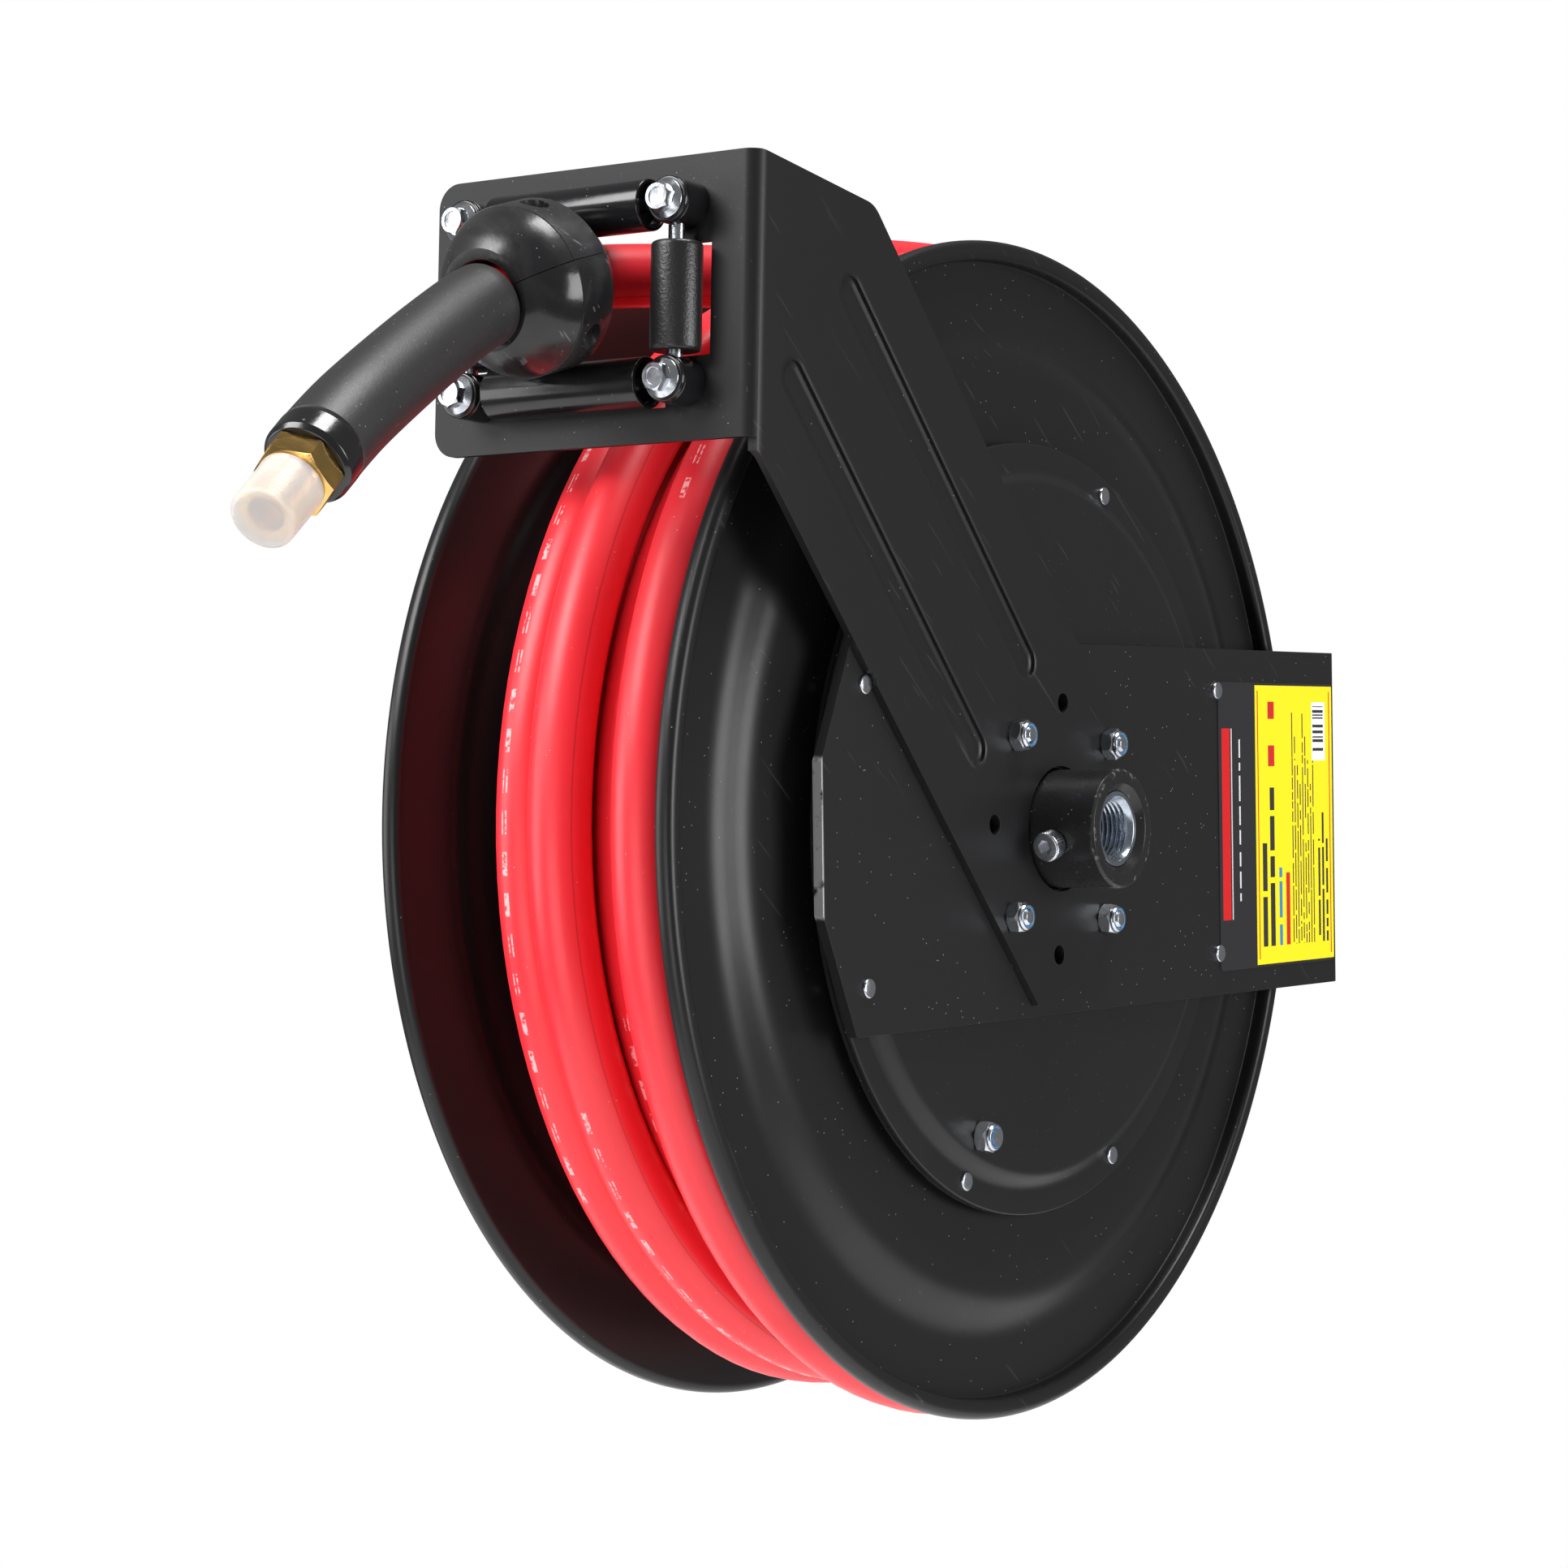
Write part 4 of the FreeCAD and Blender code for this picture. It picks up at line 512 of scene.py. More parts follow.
def rib_valleys(graph, where):
    """Depth of the arm's two pressed ribs, as a height that eases out past their walls."""
    axes = split(graph, where)
    y = graph.math("ADD", axes["Y"], -AXLE_Y * MM)
    across = graph.math("ADD", graph.math("MULTIPLY", y, math.cos(RIB_SLOPE)),
                        graph.math("MULTIPLY", axes["Z"], math.sin(RIB_SLOPE)))
    along = graph.math("SUBTRACT", graph.math("MULTIPLY", axes["Z"], math.cos(RIB_SLOPE)),
                       graph.math("MULTIPLY", y, math.sin(RIB_SLOPE)))
    nearest = graph.math("MINIMUM", graph.math("MAXIMUM", along, RIB_ENDS[0]), RIB_ENDS[1])
    past = graph.math("SUBTRACT", along, nearest)
    aside = graph.math("ABSOLUTE", graph.math("SUBTRACT", graph.math("ABSOLUTE", across),
                                              RIB_OFFSET))
    reach = graph.math("SQRT", graph.math("MULTIPLY_ADD", past, past,
                                          graph.math("MULTIPLY", aside, aside)))
    slope = graph.add("ShaderNodeMapRange", {"Value": reach, "From Min": 0.0030,
                                             "From Max": 0.0072}, interpolation_type="SMOOTHSTEP")
    return slope.outputs[0]


def worn_front_edge(graph, where, shade, rough):
    """Bare steel along the plate's sheared front edge."""
    axes = split(graph, where)
    edge = graph.ramp(axes["Y"], -0.35215, -0.35265)
    length = graph.band(axes["Z"], -0.024, 0.024, 0.002)
    noise = graph.add("ShaderNodeTexNoise", {"Vector": where, "Scale": 160.0, "Detail": 4.0})
    patchy = graph.ramp(noise.outputs["Fac"], 0.33, 0.42)
    mask = graph.math("MULTIPLY", graph.math("MULTIPLY", edge, length), patchy)
    return (graph.blend(mask, shade, (0.5, 0.5, 0.5, 1)), rough,
            graph.math("MULTIPLY", mask, 0.8))


def worn_boss(graph, where, shade, rough):
    """Handling wear round the boss's outer corner."""
    axes = split(graph, where)
    y = graph.math("ADD", axes["Y"], -AXLE_Y * MM)
    radius = graph.math("SQRT", graph.math("MULTIPLY_ADD", y, y,
                                           graph.math("MULTIPLY", axes["Z"], axes["Z"])))
    corner = graph.math("MULTIPLY", graph.ramp(axes["X"], 0.0848, 0.0861),
                        graph.band(radius, 0.0186, 0.0200, 0.0009))
    noise = graph.add("ShaderNodeTexNoise", {"Vector": where, "Scale": 420.0, "Detail": 4.0})
    mask = graph.math("MULTIPLY", corner, graph.ramp(noise.outputs["Fac"], 0.56, 0.64))
    return graph.blend(mask, shade, (0.13, 0.125, 0.12, 1)), rough, None


def hose_marks(turn_length, first_side):
    """Parting lines and plain printed dashes along the hose."""
    def overlay(graph, where, shade, rough):
        chart = split(graph, graph.add("ShaderNodeTexCoord").outputs["UV"])
        along = graph.math("MULTIPLY", chart["X"], turn_length)
        around = chart["Y"]
        far_side = (first_side + 0.5) % 1.0
        line = graph.band(around, first_side, first_side + 0.006, 0.003)
        other = graph.band(around, far_side, far_side + 0.006, 0.003)
        seams = graph.math("MAXIMUM", line, other)
        shade = graph.blend(graph.math("MULTIPLY", seams, 0.45), shade, (0.30, 0.005, 0.01, 1))
        noise = graph.add("ShaderNodeTexNoise", {"Vector": where, "Scale": 700.0, "Detail": 2.0})
        ink = graph.ramp(noise.outputs["Fac"], 0.40, 0.52)
        period = graph.math("MODULO", along, 0.60)
        group = graph.band(period, 0.03, 0.27, 0.001)
        tick = graph.math("MODULO", along, 0.0105)
        dash = graph.band(tick, 0.0015, 0.0072, 0.0003)
        strip = graph.band(around, first_side + 0.165, first_side + 0.195, 0.002)
        core = graph.band(around, first_side + 0.174, first_side + 0.186, 0.001)
        wide = graph.math("MODULO", along, 0.042)
        hollow = graph.math("MULTIPLY", core, graph.band(wide, 0.01, 0.03, 0.001))
        mark = graph.math("MULTIPLY", graph.math("MULTIPLY", group, dash),
                          graph.math("MULTIPLY", strip, graph.math("SUBTRACT", 1.0, hollow)))
        mark = graph.math("MULTIPLY", mark, graph.math("MULTIPLY", ink, 0.62))
        shade = graph.blend(mark, shade, (0.95, 0.62, 0.62, 1))
        return shade, rough, None
    return overlay


def label_print(graph, where, shade, rough):
    """Plain rating label: dark band, red bar, thin rules and a bar code of no meaning."""
    axes = split(graph, where)
    y = axes["Y"]
    z = axes["Z"]
    edge = 0.0001
    inside = graph.math("MULTIPLY", graph.band(y, -0.0685, -0.0005, edge),
                        graph.band(z, -0.0535, 0.050, edge))
    yellow = (*look().label_yellow, 1)
    shade = graph.blend(inside, (0.02, 0.02, 0.022, 1), yellow)

    def bar(low_y, high_y, low_z, high_z, colour, ground, mask=None):
        area = graph.math("MULTIPLY", graph.band(y, low_y, high_y, edge),
                          graph.band(z, low_z, high_z, edge))
        if mask is not None:
            area = graph.math("MULTIPLY", area, mask)
        return graph.blend(area, ground, (*colour, 1))

    def words(row_x, row_y, size, weight):
        """Breaks a rule into blocks of uneven length."""
        place = graph.add("ShaderNodeCombineXYZ", {"X": row_x, "Y": row_y, "Z": z}).outputs[0]
        noise = graph.add("ShaderNodeTexNoise", {"Scale": 1.0 / size, "Detail": 0.0,
                                                 "Vector": place})
        return graph.math("GREATER_THAN", noise.outputs["Fac"], weight)

    dark = (0.03, 0.03, 0.03)
    red = (0.6, 0.02, 0.02)
    shade = bar(-0.0945, -0.0885, -0.036, 0.034, (0.62, 0.01, 0.012), shade)
    shade = bar(-0.0875, -0.0868, -0.036, 0.034, (0.6, 0.6, 0.6), shade)
    shade = bar(-0.0815, -0.0805, -0.030, 0.030, (0.7, 0.7, 0.7), shade,
                words(0.1, 0.4, 0.004, 0.42))
    frame_y = graph.math("MINIMUM", graph.math("ABSOLUTE", graph.math("ADD", y, 0.0665)),
                         graph.math("ABSOLUTE", graph.math("ADD", y, 0.0085)))
    red_rule = graph.math("MULTIPLY", graph.math("LESS_THAN", frame_y, 0.0004),
                          graph.band(z, -0.0515, 0.048, edge))
    shade = graph.blend(red_rule, shade, (0.6, 0.03, 0.02, 1))
    for low_y, high_y, low_z, high_z, colour, row, size, weight in (
            (-0.0635, -0.0600, -0.047, -0.008, dark, 1.0, 0.005, 0.33),
            (-0.0575, -0.0540, -0.047, 0.012, dark, 2.0, 0.005, 0.33),
            (-0.0585, -0.0535, 0.020, 0.044, red, 2.5, 0.006, 0.36),
            (-0.0505, -0.0482, -0.047, -0.018, (0.05, 0.25, 0.5), 3.0, 0.004, 0.40),
            (-0.0450, -0.0420, -0.047, -0.020, red, 4.0, 0.006, 0.30)):
        shade = bar(low_y, high_y, low_z, high_z, colour, shade, words(row, 1.0, size, weight))
    for row in range(9):
        low = -0.0395 + row * 0.0021
        shade = bar(low, low + 0.0007, -0.047, 0.040 - 0.009 * ((row * 5) % 4), dark, shade,
                    words(5.0 + row, 1.0, 0.0028, 0.36))
    for row in range(3):
        low = -0.0185 + row * 0.0032
        shade = bar(low, low + 0.0015, -0.047, -0.008 + 0.01 * (row % 2), dark, shade,
                    words(20.0 + row, 1.0, 0.004, 0.40))
    shade = bar(-0.0230, -0.0120, 0.022, 0.044, (0.9, 0.9, 0.9), shade)
    stripes = graph.add("ShaderNodeTexNoise", {"Scale": 900.0, "Detail": 0.0,
                                               "Vector": graph.add("ShaderNodeCombineXYZ", {
                                                   "Z": z}).outputs[0]})
    shade = bar(-0.0222, -0.0135, 0.0235, 0.0425, dark, shade,
                graph.math("GREATER_THAN", stripes.outputs["Fac"], 0.5))
    return shade, rough, None


def milky_plastic():
    made = coating("milky cap plastic", (0.93, 0.91, 0.90), 0.34, grain=(500.0, 0.08),
                   specks=(200.0, 0.0), smudge=(40.0, 0.12), smudge_colour=(0.86, 0.84, 0.83))
    shader = made.node_tree.nodes["Principled BSDF"]
    shader.inputs["Transmission Weight"].default_value = 0.45
    shader.inputs["IOR"].default_value = 1.2
    shader.inputs["Alpha"].default_value = 0.60
    return made


def make_finishes():
    make_effects()
    s = look()
    paint = tuple(s.paint)
    red_rubber = {"colour": tuple(s.hose_red), "roughness": 0.40, "grain": (1500.0, 0.10),
                  "specks": (800.0, 0.02), "speck_colour": (0.9, 0.35, 0.36),
                  "smudge": (9.0, 0.12), "smudge_colour": (0.76, 0.018, 0.030)}
    powder = {"grain": (1400.0, 0.05), "specks": (900.0, 0.010), "smudge": (7.0, 0.07),
              "scratch": 0.08, "specular": 0.3}
    return {
        "black_steel": coating("black powder coat", paint, 0.38, **powder),
        "arm": coating("powder coat with pressed ribs", paint, 0.38, relief=rib_valleys,
                       **powder),
        "flange": coating("flange powder coat", paint, 0.34, grain=(1200.0, 0.05),
                          specks=(900.0, 0.008), smudge=(5.0, 0.06), scratch=0.08,
                          specular=0.3),
        "worn_steel": coating("powder coat worn at the front", paint, 0.40, grain=(1400.0, 0.06),
                              specks=(900.0, 0.010), smudge=(7.0, 0.07), scratch=0.08,
                              specular=0.3, overlay=worn_front_edge),
        "boss": coating("handled black boss", (0.014, 0.014, 0.015), 0.30, grain=(700.0, 0.14),
                        specks=(900.0, 0.06), smudge=(60.0, 0.16), overlay=worn_boss,
                        specular=0.4),
        "zinc_steel": coating("zinc plate", tuple(s.zinc), 0.24, 1.0, grain=(1500.0, 0.08),
                              specks=(500.0, 0.03), speck_colour=(0.25, 0.25, 0.27),
                              smudge=(150.0, 0.16), smudge_colour=(0.50, 0.53, 0.60)),
        "thread_zinc": coating("zinc in the inlet", (0.55, 0.62, 0.72), 0.22, 1.0,
                               grain=(1500.0, 0.1), specks=(500.0, 0.03), smudge=(140.0, 0.14),
                               smudge_colour=(0.35, 0.38, 0.42), speck_colour=(0.2, 0.2, 0.2)),
        "spring_steel": coating("spring steel", (0.20, 0.21, 0.23), 0.34, 1.0,
                                grain=(900.0, 0.1), specks=(300.0, 0.0), smudge=(60.0, 0.15)),
        "black_plastic": coating("gloss black plastic", (0.009, 0.009, 0.010), 0.20,
                                 grain=(500.0, 0.04), specks=(900.0, 0.02), smudge=(30.0, 0.10),
                                 specular=0.45),
        "matte_black": coating("granular black plastic", (0.012, 0.012, 0.013), 0.34,
                               grain=(1100.0, 0.35), specks=(600.0, 0.05),
                               speck_colour=(0.12, 0.12, 0.12), smudge=(40.0, 0.12)),
        "black_rubber": coating("charcoal sleeve rubber", tuple(s.rubber), 0.50,
                                grain=(2600.0, 0.22), specks=(900.0, 0.06),
                                speck_colour=(0.30, 0.30, 0.30), smudge=(16.0, 0.10),
                                specular=0.6),
        "ball_rubber": coating("moulded ball rubber", (0.012, 0.012, 0.013), 0.27,
                               grain=(600.0, 0.08), specks=(900.0, 0.05),
                               speck_colour=(0.25, 0.25, 0.25), smudge=(34.0, 0.22),
                               smudge_colour=(0.024, 0.024, 0.025), scratch=0.4,
                               specular=0.4),
        "ring_rubber": coating("smooth ring rubber", (0.012, 0.012, 0.013), 0.22,
                               grain=(500.0, 0.12), specks=(420.0, 0.05), smudge=(70.0, 0.14)),
        "brass": coating("turned brass", tuple(s.brass), 0.20, 1.0, grain=(900.0, 0.08),
                         specks=(300.0, 0.0), smudge=(120.0, 0.12),
                         smudge_colour=(0.66, 0.40, 0.12)),
        "nylon_blue": coating("blue nylon", (0.10, 0.26, 0.50), 0.35, grain=(900.0, 0.05),
                              specks=(300.0, 0.0), smudge=(200.0, 0.1)),
        "bronze": coating("bearing bronze", (0.45, 0.28, 0.12), 0.35, 1.0, grain=(900.0, 0.1),
                          specks=(300.0, 0.0), smudge=(60.0, 0.1)),
        "cap_plastic": milky_plastic(),
        "label": coating("printed label", (0.9, 0.8, 0.1), 0.30, grain=(700.0, 0.03),
                         specks=(300.0, 0.0), smudge=(20.0, 0.05), overlay=label_print),
        "hose": coating("red hose rubber, wound", overlay=hose_marks(WOUND_LENGTH, 0.06),
                        **red_rubber),
        "free_hose": coating("red hose rubber, free", overlay=hose_marks(FREE_LENGTH, 0.31),
                             **red_rubber),
    }


FINISHES = {}

# Finish of each CAD node that keeps its own shape.
NODE_FINISH = {
    "rivet_spacers": "zinc_steel", "mainspring": "spring_steel", "spring_case": "black_steel",
    "pawl_bolt": "zinc_steel", "pawl_spacers": "zinc_steel", "pawl_spring": "spring_steel",
    "pawl": "zinc_steel", "roller_pins": "zinc_steel", "post_nuts": "zinc_steel",
    "flange_rivets": "zinc_steel", "drum_shell": "black_steel", "drum_web": "black_steel",
    "spring_arbor": "black_steel", "arbor_rivets": "zinc_steel", "near_bush": "bronze",
    "far_bush": "bronze", "far_hub": "black_steel", "thrust_washer": "zinc_steel",
    "circlip": "spring_steel", "ratchet_ring": "zinc_steel", "swivel_housing": "brass",
    "swivel_seals": "ring_rubber", "outlet_elbow": "zinc_steel", "inner_clamp": "zinc_steel",
    "ball_screws": "zinc_steel",
}


# Small hardware

def hexagon(across, low, high, soft_low, soft_high):
    """Hexagonal blank whose ends are chamfered by turning."""
    blank = rod(across / 2 / math.cos(math.pi / 6), low, high, 6)
    corner = across / 2 / math.cos(math.pi / 6) + 0.05
    reach = across / 2 - 0.1
    lens = spun([(low - 0.01, 0), (low - 0.01, reach if soft_low else corner),
                 (low + (0.8 if soft_low else 0.01), corner),
                 (high - (0.8 if soft_high else 0.01), corner),
                 (high + 0.01, reach if soft_high else corner), (high + 0.01, 0)], 48)
    return carve(blank, lens, "INTERSECT")


def lock_nut_parts():
    """Hexagon with a round collar, and the nylon ring inside the collar."""
    body = carve(hexagon(9.6, 0, 4.4, True, True), rod(3.05, -1, 6))
    collar = spun([(3.9, 3.1), (3.9, 4.5), (5.3, 4.5, 0.5), (6.0, 4.0, 0.2), (6.0, 3.7),
                   (5.2, 4.0), (5.2, 3.1)], 48)
    nylon = spun([(5.1, 3.02), (5.1, 4.0), (5.9, 3.95, 0.3), (5.8, 3.02, 0.2)], 48)
    return body, collar, nylon


def bolt_blank(head_across, head, radius, long):
    """Hexagon head behind the origin and a shank ahead of it, with a pointed end."""
    top = hexagon(head_across, -head, 0, True, False)
    shank = spun([(-0.2, 0), (-0.2, radius), (long - 0.9, radius, 0.2), (long, radius - 0.8, 0.2),
                  (long, 0)], 32)
    return top, shank


class REEL_OT_fasteners(bpy.types.Operator):
    """Bolts, lock nuts and rivets of the bracket"""
    bl_idname = "reel.fasteners"
    bl_label = "Fasteners"

    def execute(self, context):
        zinc = FINISHES["zinc_steel"]
        quarters = circle_spots(NUT_CIRCLE, (42, 132, 222, 312))
        pawl_spot = circle_spots(110, (-113.5,))[0]
        body, collar, nylon = lock_nut_parts()
        top, shank = bolt_blank(9.6, 4, 2.95, 19.6)
        nuts, rings, bolts = [], [], []
        for i, (y, z) in enumerate(quarters):
            seat = on_axle(62.5, y, z, 0.4 + 1.9 * i)
            nuts += [(body, seat), (collar, seat)]
            rings.append((nylon, seat))
            under = on_axle(49.5, y, z, 0.3 * i)
            bolts += [(top, under), (shank, under)]
        finished(gathered(nuts), "lock_nuts", zinc, "frame", ("arm_nuts",))
        finished(gathered(bolts), "bracket_bolts", zinc, "frame", ("arm_bolts",))
        seat = on_axle(56.5, *pawl_spot, 0.8)
        finished(gathered([(body, seat), (collar, seat)]), "pawl_lock_nut", zinc, "frame",
                 ("pawl_nut",))
        rings.append((nylon, seat))
        finished(gathered(rings), "nylon_rings", FINISHES["nylon_blue"], "frame",
                 ("locknut_inserts",))

        def rivets(name, nodes, face, long, angles):
            shape = spun([(-long - 1.3, 0), (-long - 1.3, 2.7, 0.5), (-long, 2.8), (-long, 2.1),
                          (0, 2.1), (0, 3.2, 0.2), (0.9, 3.1, 0.5), (1.15, 1.9), (1.0, 0)], 32)
            places = [(shape, on_axle(face, y, z)) for y, z in circle_spots(RIVET_CIRCLE, angles)]
            finished(gathered(places), name, zinc, "frame", nodes)

        rivets("cover_rivet_set", ("cover_rivets",), 52.7, 3.5, (67.5, 112.5, -67.5, -112.5))
        rivets("base_rivet_set", ("base_rivets",), 60, 10.8, (22.5, 157.5, -22.5, -157.5))

        far_top, far_shank = bolt_blank(9.6, 4, 2.95, 8.2)
        far = []
        for i, (y, z) in enumerate(circle_spots(30, (45, 135, 225, 315))):
            place = on_axle(-68.5, y, z, 0.5 * i)
            far += [(far_top, place), (far_shank, place)]
        finished(gathered(far), "far_hub_bolt_set", zinc, "reel", ("far_hub_bolts",))
        return {"FINISHED"}


class REEL_OT_flanges(bpy.types.Operator):
    """The reel's two pressed flanges with their rolled rims"""
    bl_idname = "reel.flanges"
    bl_label = "Flanges"

    def execute(self, context):
        outline = [(44.3, 0, 0.3), (45.5, 0, 0.3), (45.5, 159.5, 20), (40, 170.5, 20),
                   (40, 193.2, 0.8), (45.6, 192.9, 2.9), (45.8, 200, 3.3), (38.8, 200, 3.3),
                   (38.8, 170.5, 21), (44.3, 159, 21)]
        for name, hole, mirrored in (("near_flange", 119, False), ("far_flange", 20.1, True)):
            points = [(x, hole if r == 0 else r, *rest) for x, r, *rest in outline]
            if mirrored:
                points = [(FLANGE_MIRROR - x, r, *rest) for x, r, *rest in points]
            turned(name + "_pressing", points, on_axle(0), FINISHES["flange"], "reel", (name,),
                   steps=look().rim_steps, segments=7)
        return {"FINISHED"}


class REEL_OT_spring_cover(bpy.types.Operator):
    """Dished cover of the spring case"""
    bl_idname = "reel.spring_cover"
    bl_label = "Spring cover"

    def execute(self, context):
        outline = [(50.7, 131, 0.5), (52.7, 131, 0.7), (52.7, 121.4, 5), (56.5, 117.5, 5),
                   (56.5, 20.6, 0.2), (54.5, 20.6, 0.2), (54.5, 117, 5), (50.7, 120.6, 5)]
        turned("spring_cover_dish", outline, on_axle(0), FINISHES["black_steel"], "frame",
               ("spring_cover",), steps=160, segments=5)
        return {"FINISHED"}


class REEL_OT_bracket(bpy.types.Operator):
    """Wall bracket and guide arm with eased sheet edges"""
    bl_idname = "reel.bracket"
    bl_label = "Bracket"

    def execute(self, context):
        softened("base_plate", "base_plate_sheet", FINISHES["worn_steel"], "frame", 0.5)
        softened("guide_arm", "guide_arm_sheet", FINISHES["arm"], "frame", 0.9)
        return {"FINISHED"}


class REEL_OT_hub(bpy.types.Operator):
    """Boss, threaded inlet and lock screw"""
    bl_idname = "reel.hub"
    bl_label = "Hub"

    def execute(self, context):
        boss = [(49.5, 12.72), (49.5, 52, 0.4), (54.5, 52, 0.4), (54.5, 20), (85.7, 20, 0.3),
                (86.5, 19.1, 0.4), (86.5, 15.2, 0.4), (83.9, 12.72)]
        turned("hub_boss", boss, on_axle(0), FINISHES["boss"], "frame", ("hub_holder",),
               steps=96)
        pitch = INLET_PITCH
        thread = []
        for i in range(8):
            mouth = SHAFT_FACE - 1.3 - i * pitch
            thread += [(mouth, 10.25), (mouth - pitch * 0.38, 9.35), (mouth - pitch * 0.5, 9.3),
                       (mouth - pitch * 0.88, 10.25)]
        seat = SHAFT_FACE - INLET_DEPTH
        shaft = ([(-48, 0), (-48, 6.5), (seat, 6.5), (seat, 9.3)] + thread[::-1] +
                 [(SHAFT_FACE, 11.0, 0.3), (SHAFT_FACE, 12.7, 0.3), (-71.2, 12.7), (-71.2, 11.8),
                  (-72.7, 11.8), (-72.7, 12.7), (-74, 12.7), (-75, 11.7), (-75, 0)])
        turned("threaded_inlet_shaft", shaft, on_axle(0), FINISHES["thread_zinc"], "frame",
               ("inlet_shaft",), steps=72)

        head = spun([(0, 0), (0, 4.8, 0.2), (0.5, 5.0, 0.2), (4.9, 5.0, 0.4), (5.6, 4.4, 0.3),
                     (5.6, 0)], 72)
        for vert in head.verts:
            radius = math.hypot(vert.co.y, vert.co.z)
            slot = round(math.atan2(vert.co.z, vert.co.y) / math.tau * 72)
            if slot % 2 and radius > 4.6:
                vert.co.y *= 0.955
                vert.co.z *= 0.955
        head = carve(head, rod(2.7, 2.6, 7, 6))
        shank = rod(2.5, -8, 0.2, 24)
        place = on_axle(71.3) @ aimed_turn((0, -0.975, -0.222)) @ shift(20.6 * MM)
        finished(gathered([(head, place), (shank, place)]), "boss_lock_screw",
                 FINISHES["zinc_steel"], "frame", ("shaft_lock_screw",), sharp=25)
        return {"FINISHED"}


class REEL_OT_roller_cage(bpy.types.Operator):
    """Rollers, their posts and the small flange bolts"""
    bl_idname = "reel.roller_cage"
    bl_label = "Roller cage"

    def execute(self, context):
        axis_y = PLATE_FRONT - 6
        hollow = [(0, 6.9, 0.2), (0, 8, 0.5), (60, 8, 0.5), (60, 6.9, 0.2), (56.5, 6.5, 0.4),
                  (56.5, 2.3), (3.5, 2.3), (3.5, 6.5, 0.4)]
        for tag, z in (("top", 184.5), ("bottom", 130)):
            turned("roller_%s_tube" % tag, hollow, on_arm(-32.5, axis_y, z),
                   FINISHES["black_plastic"], "roller_" + tag, ("roller_" + tag,),
                   steps=72)
        solid = [(0, 2.3), (0, 8, 1.6), (33.5, 8, 1.6), (33.5, 2.3)]
        for tag, x in (("left", -42.5), ("right", 37.5)):
            turned("roller_%s_barrel" % tag, solid, on_arm(x, axis_y, 138.7, (0, 0, 1)),
                   FINISHES["matte_black"], "roller_" + tag, ("roller_" + tag,),
                   steps=72)
        posts, bolts = [], []
        post = spun([(0, 2.6), (0, 7.4, 0.3), (10.0, 7.3), (10.2, 6.9), (10.6, 6.9), (10.8, 7.3),
                     (12, 7.1, 0.7), (12, 2.6)], 56)
        flange = spun([(0, 0), (0, 6.1, 0.3), (0.7, 6.15, 0.3), (2.1, 4.3, 0.4), (2.1, 0)], 56)
        head = hexagon(8, 0.8, 5.4, False, True)
        head = carve(head, spun([(4.9, 0), (4.9, 2.7, 0.2), (6, 2.9), (6, 0)], 32))
        shank = rod(2.4, -20.4, 0.2, 24)
        middle_x, middle_z = -2.5, 157.25
        for i, (x, z) in enumerate(((-42.5, 130), (37.5, 130), (37.5, 184.5), (-42.5, 184.5))):
            place = on_arm(x, PLATE_FRONT, z, (0, -1, 0))
            drilled = post.copy()
            for heading in ((1 if x < middle_x else -1, 0), (0, 1 if z < middle_z else -1)):
                # post's own axes: Y is the arm's X, Z the arm's Z
                turn = aimed_turn((0, *heading))
                drilled = carve(drilled, moved(rod(2.6, 3, 9, 24), shift(6, 0, 0) @ turn))
            posts.append((drilled, place))
            front = place @ shift(12 * MM) @ Matrix.Rotation(0.35 + 0.5 * i, 4, "X")
            bolts += [(flange, front), (head, front), (shank, front)]
        finished(gathered(posts), "roller_post_set", FINISHES["black_plastic"], "frame",
                 ("roller_posts",))
        finished(gathered(bolts), "flange_bolt_set", FINISHES["zinc_steel"], "frame",
                 ("post_bolts",))
        return {"FINISHED"}


BALL_REAR = Vector((-2.4, -396, 174.25))
BALL_FRONT = Vector((-2.4, -436.6, 163.75))
BALL_ROLL = math.radians(17)


def ball_place():
    heading = (BALL_FRONT - BALL_REAR).normalized()
    side = Vector((0, 0, 1)).cross(heading).normalized()
    up = heading.cross(side)
    turn = Matrix((heading, side, up)).transposed().to_4x4()
    centre = (BALL_FRONT + BALL_REAR) / 2 * MM
    return Matrix.Translation(centre) @ turn @ Matrix.Rotation(BALL_ROLL, 4, "X")


class REEL_OT_ball_stop(bpy.types.Operator):
    """Two-piece ball that stops the hose at the rollers"""
    bl_idname = "reel.ball_stop"
    bl_label = "Ball stop"

    def execute(self, context):
        outline = [(-22, 11.9, 0.5)]
        for i in range(9):
            x = -22 + i * 15 / 8
            outline.append((x, math.sqrt(26 ** 2 - x * x)))
        outline += [(-7, 26.7, 0.25), (8, 26.7, 0.3), (8.05, 26.3)]
        for i in range(1, 11):
            x = 8 + i * 14.5 / 10
            outline.append((x, math.sqrt(27.4 ** 2 - x * x)))
        outline += [(22.55, 12.2, 0.5), (12, 10.4), (-12, 10.4)]
        place = ball_place()
        upward = aimed_turn((0, 0, 1))
        for tag, sign in (("upper", 1), ("lower", -1)):
            half = spun(outline, 120, 3)
            low, high = (0.12, 40) if sign > 0 else (-40, -0.12)
            half = carve(half, block((-40, -40, low), (40, 40, high)), "INTERSECT")
            for y in (-14.8, 14.8):
                well = rod(4.0, 9, 40, 40) if sign > 0 else rod(4.0, -40, -9, 40)
                half = carve(half, moved(well, shift(0.5, y, 0) @ upward))
            finished(gathered([(half, place)]), "ball_%s_half" % tag, FINISHES["ball_rubber"],
                     "frame", ("ball_" + tag,), sharp=28)
        return {"FINISHED"}


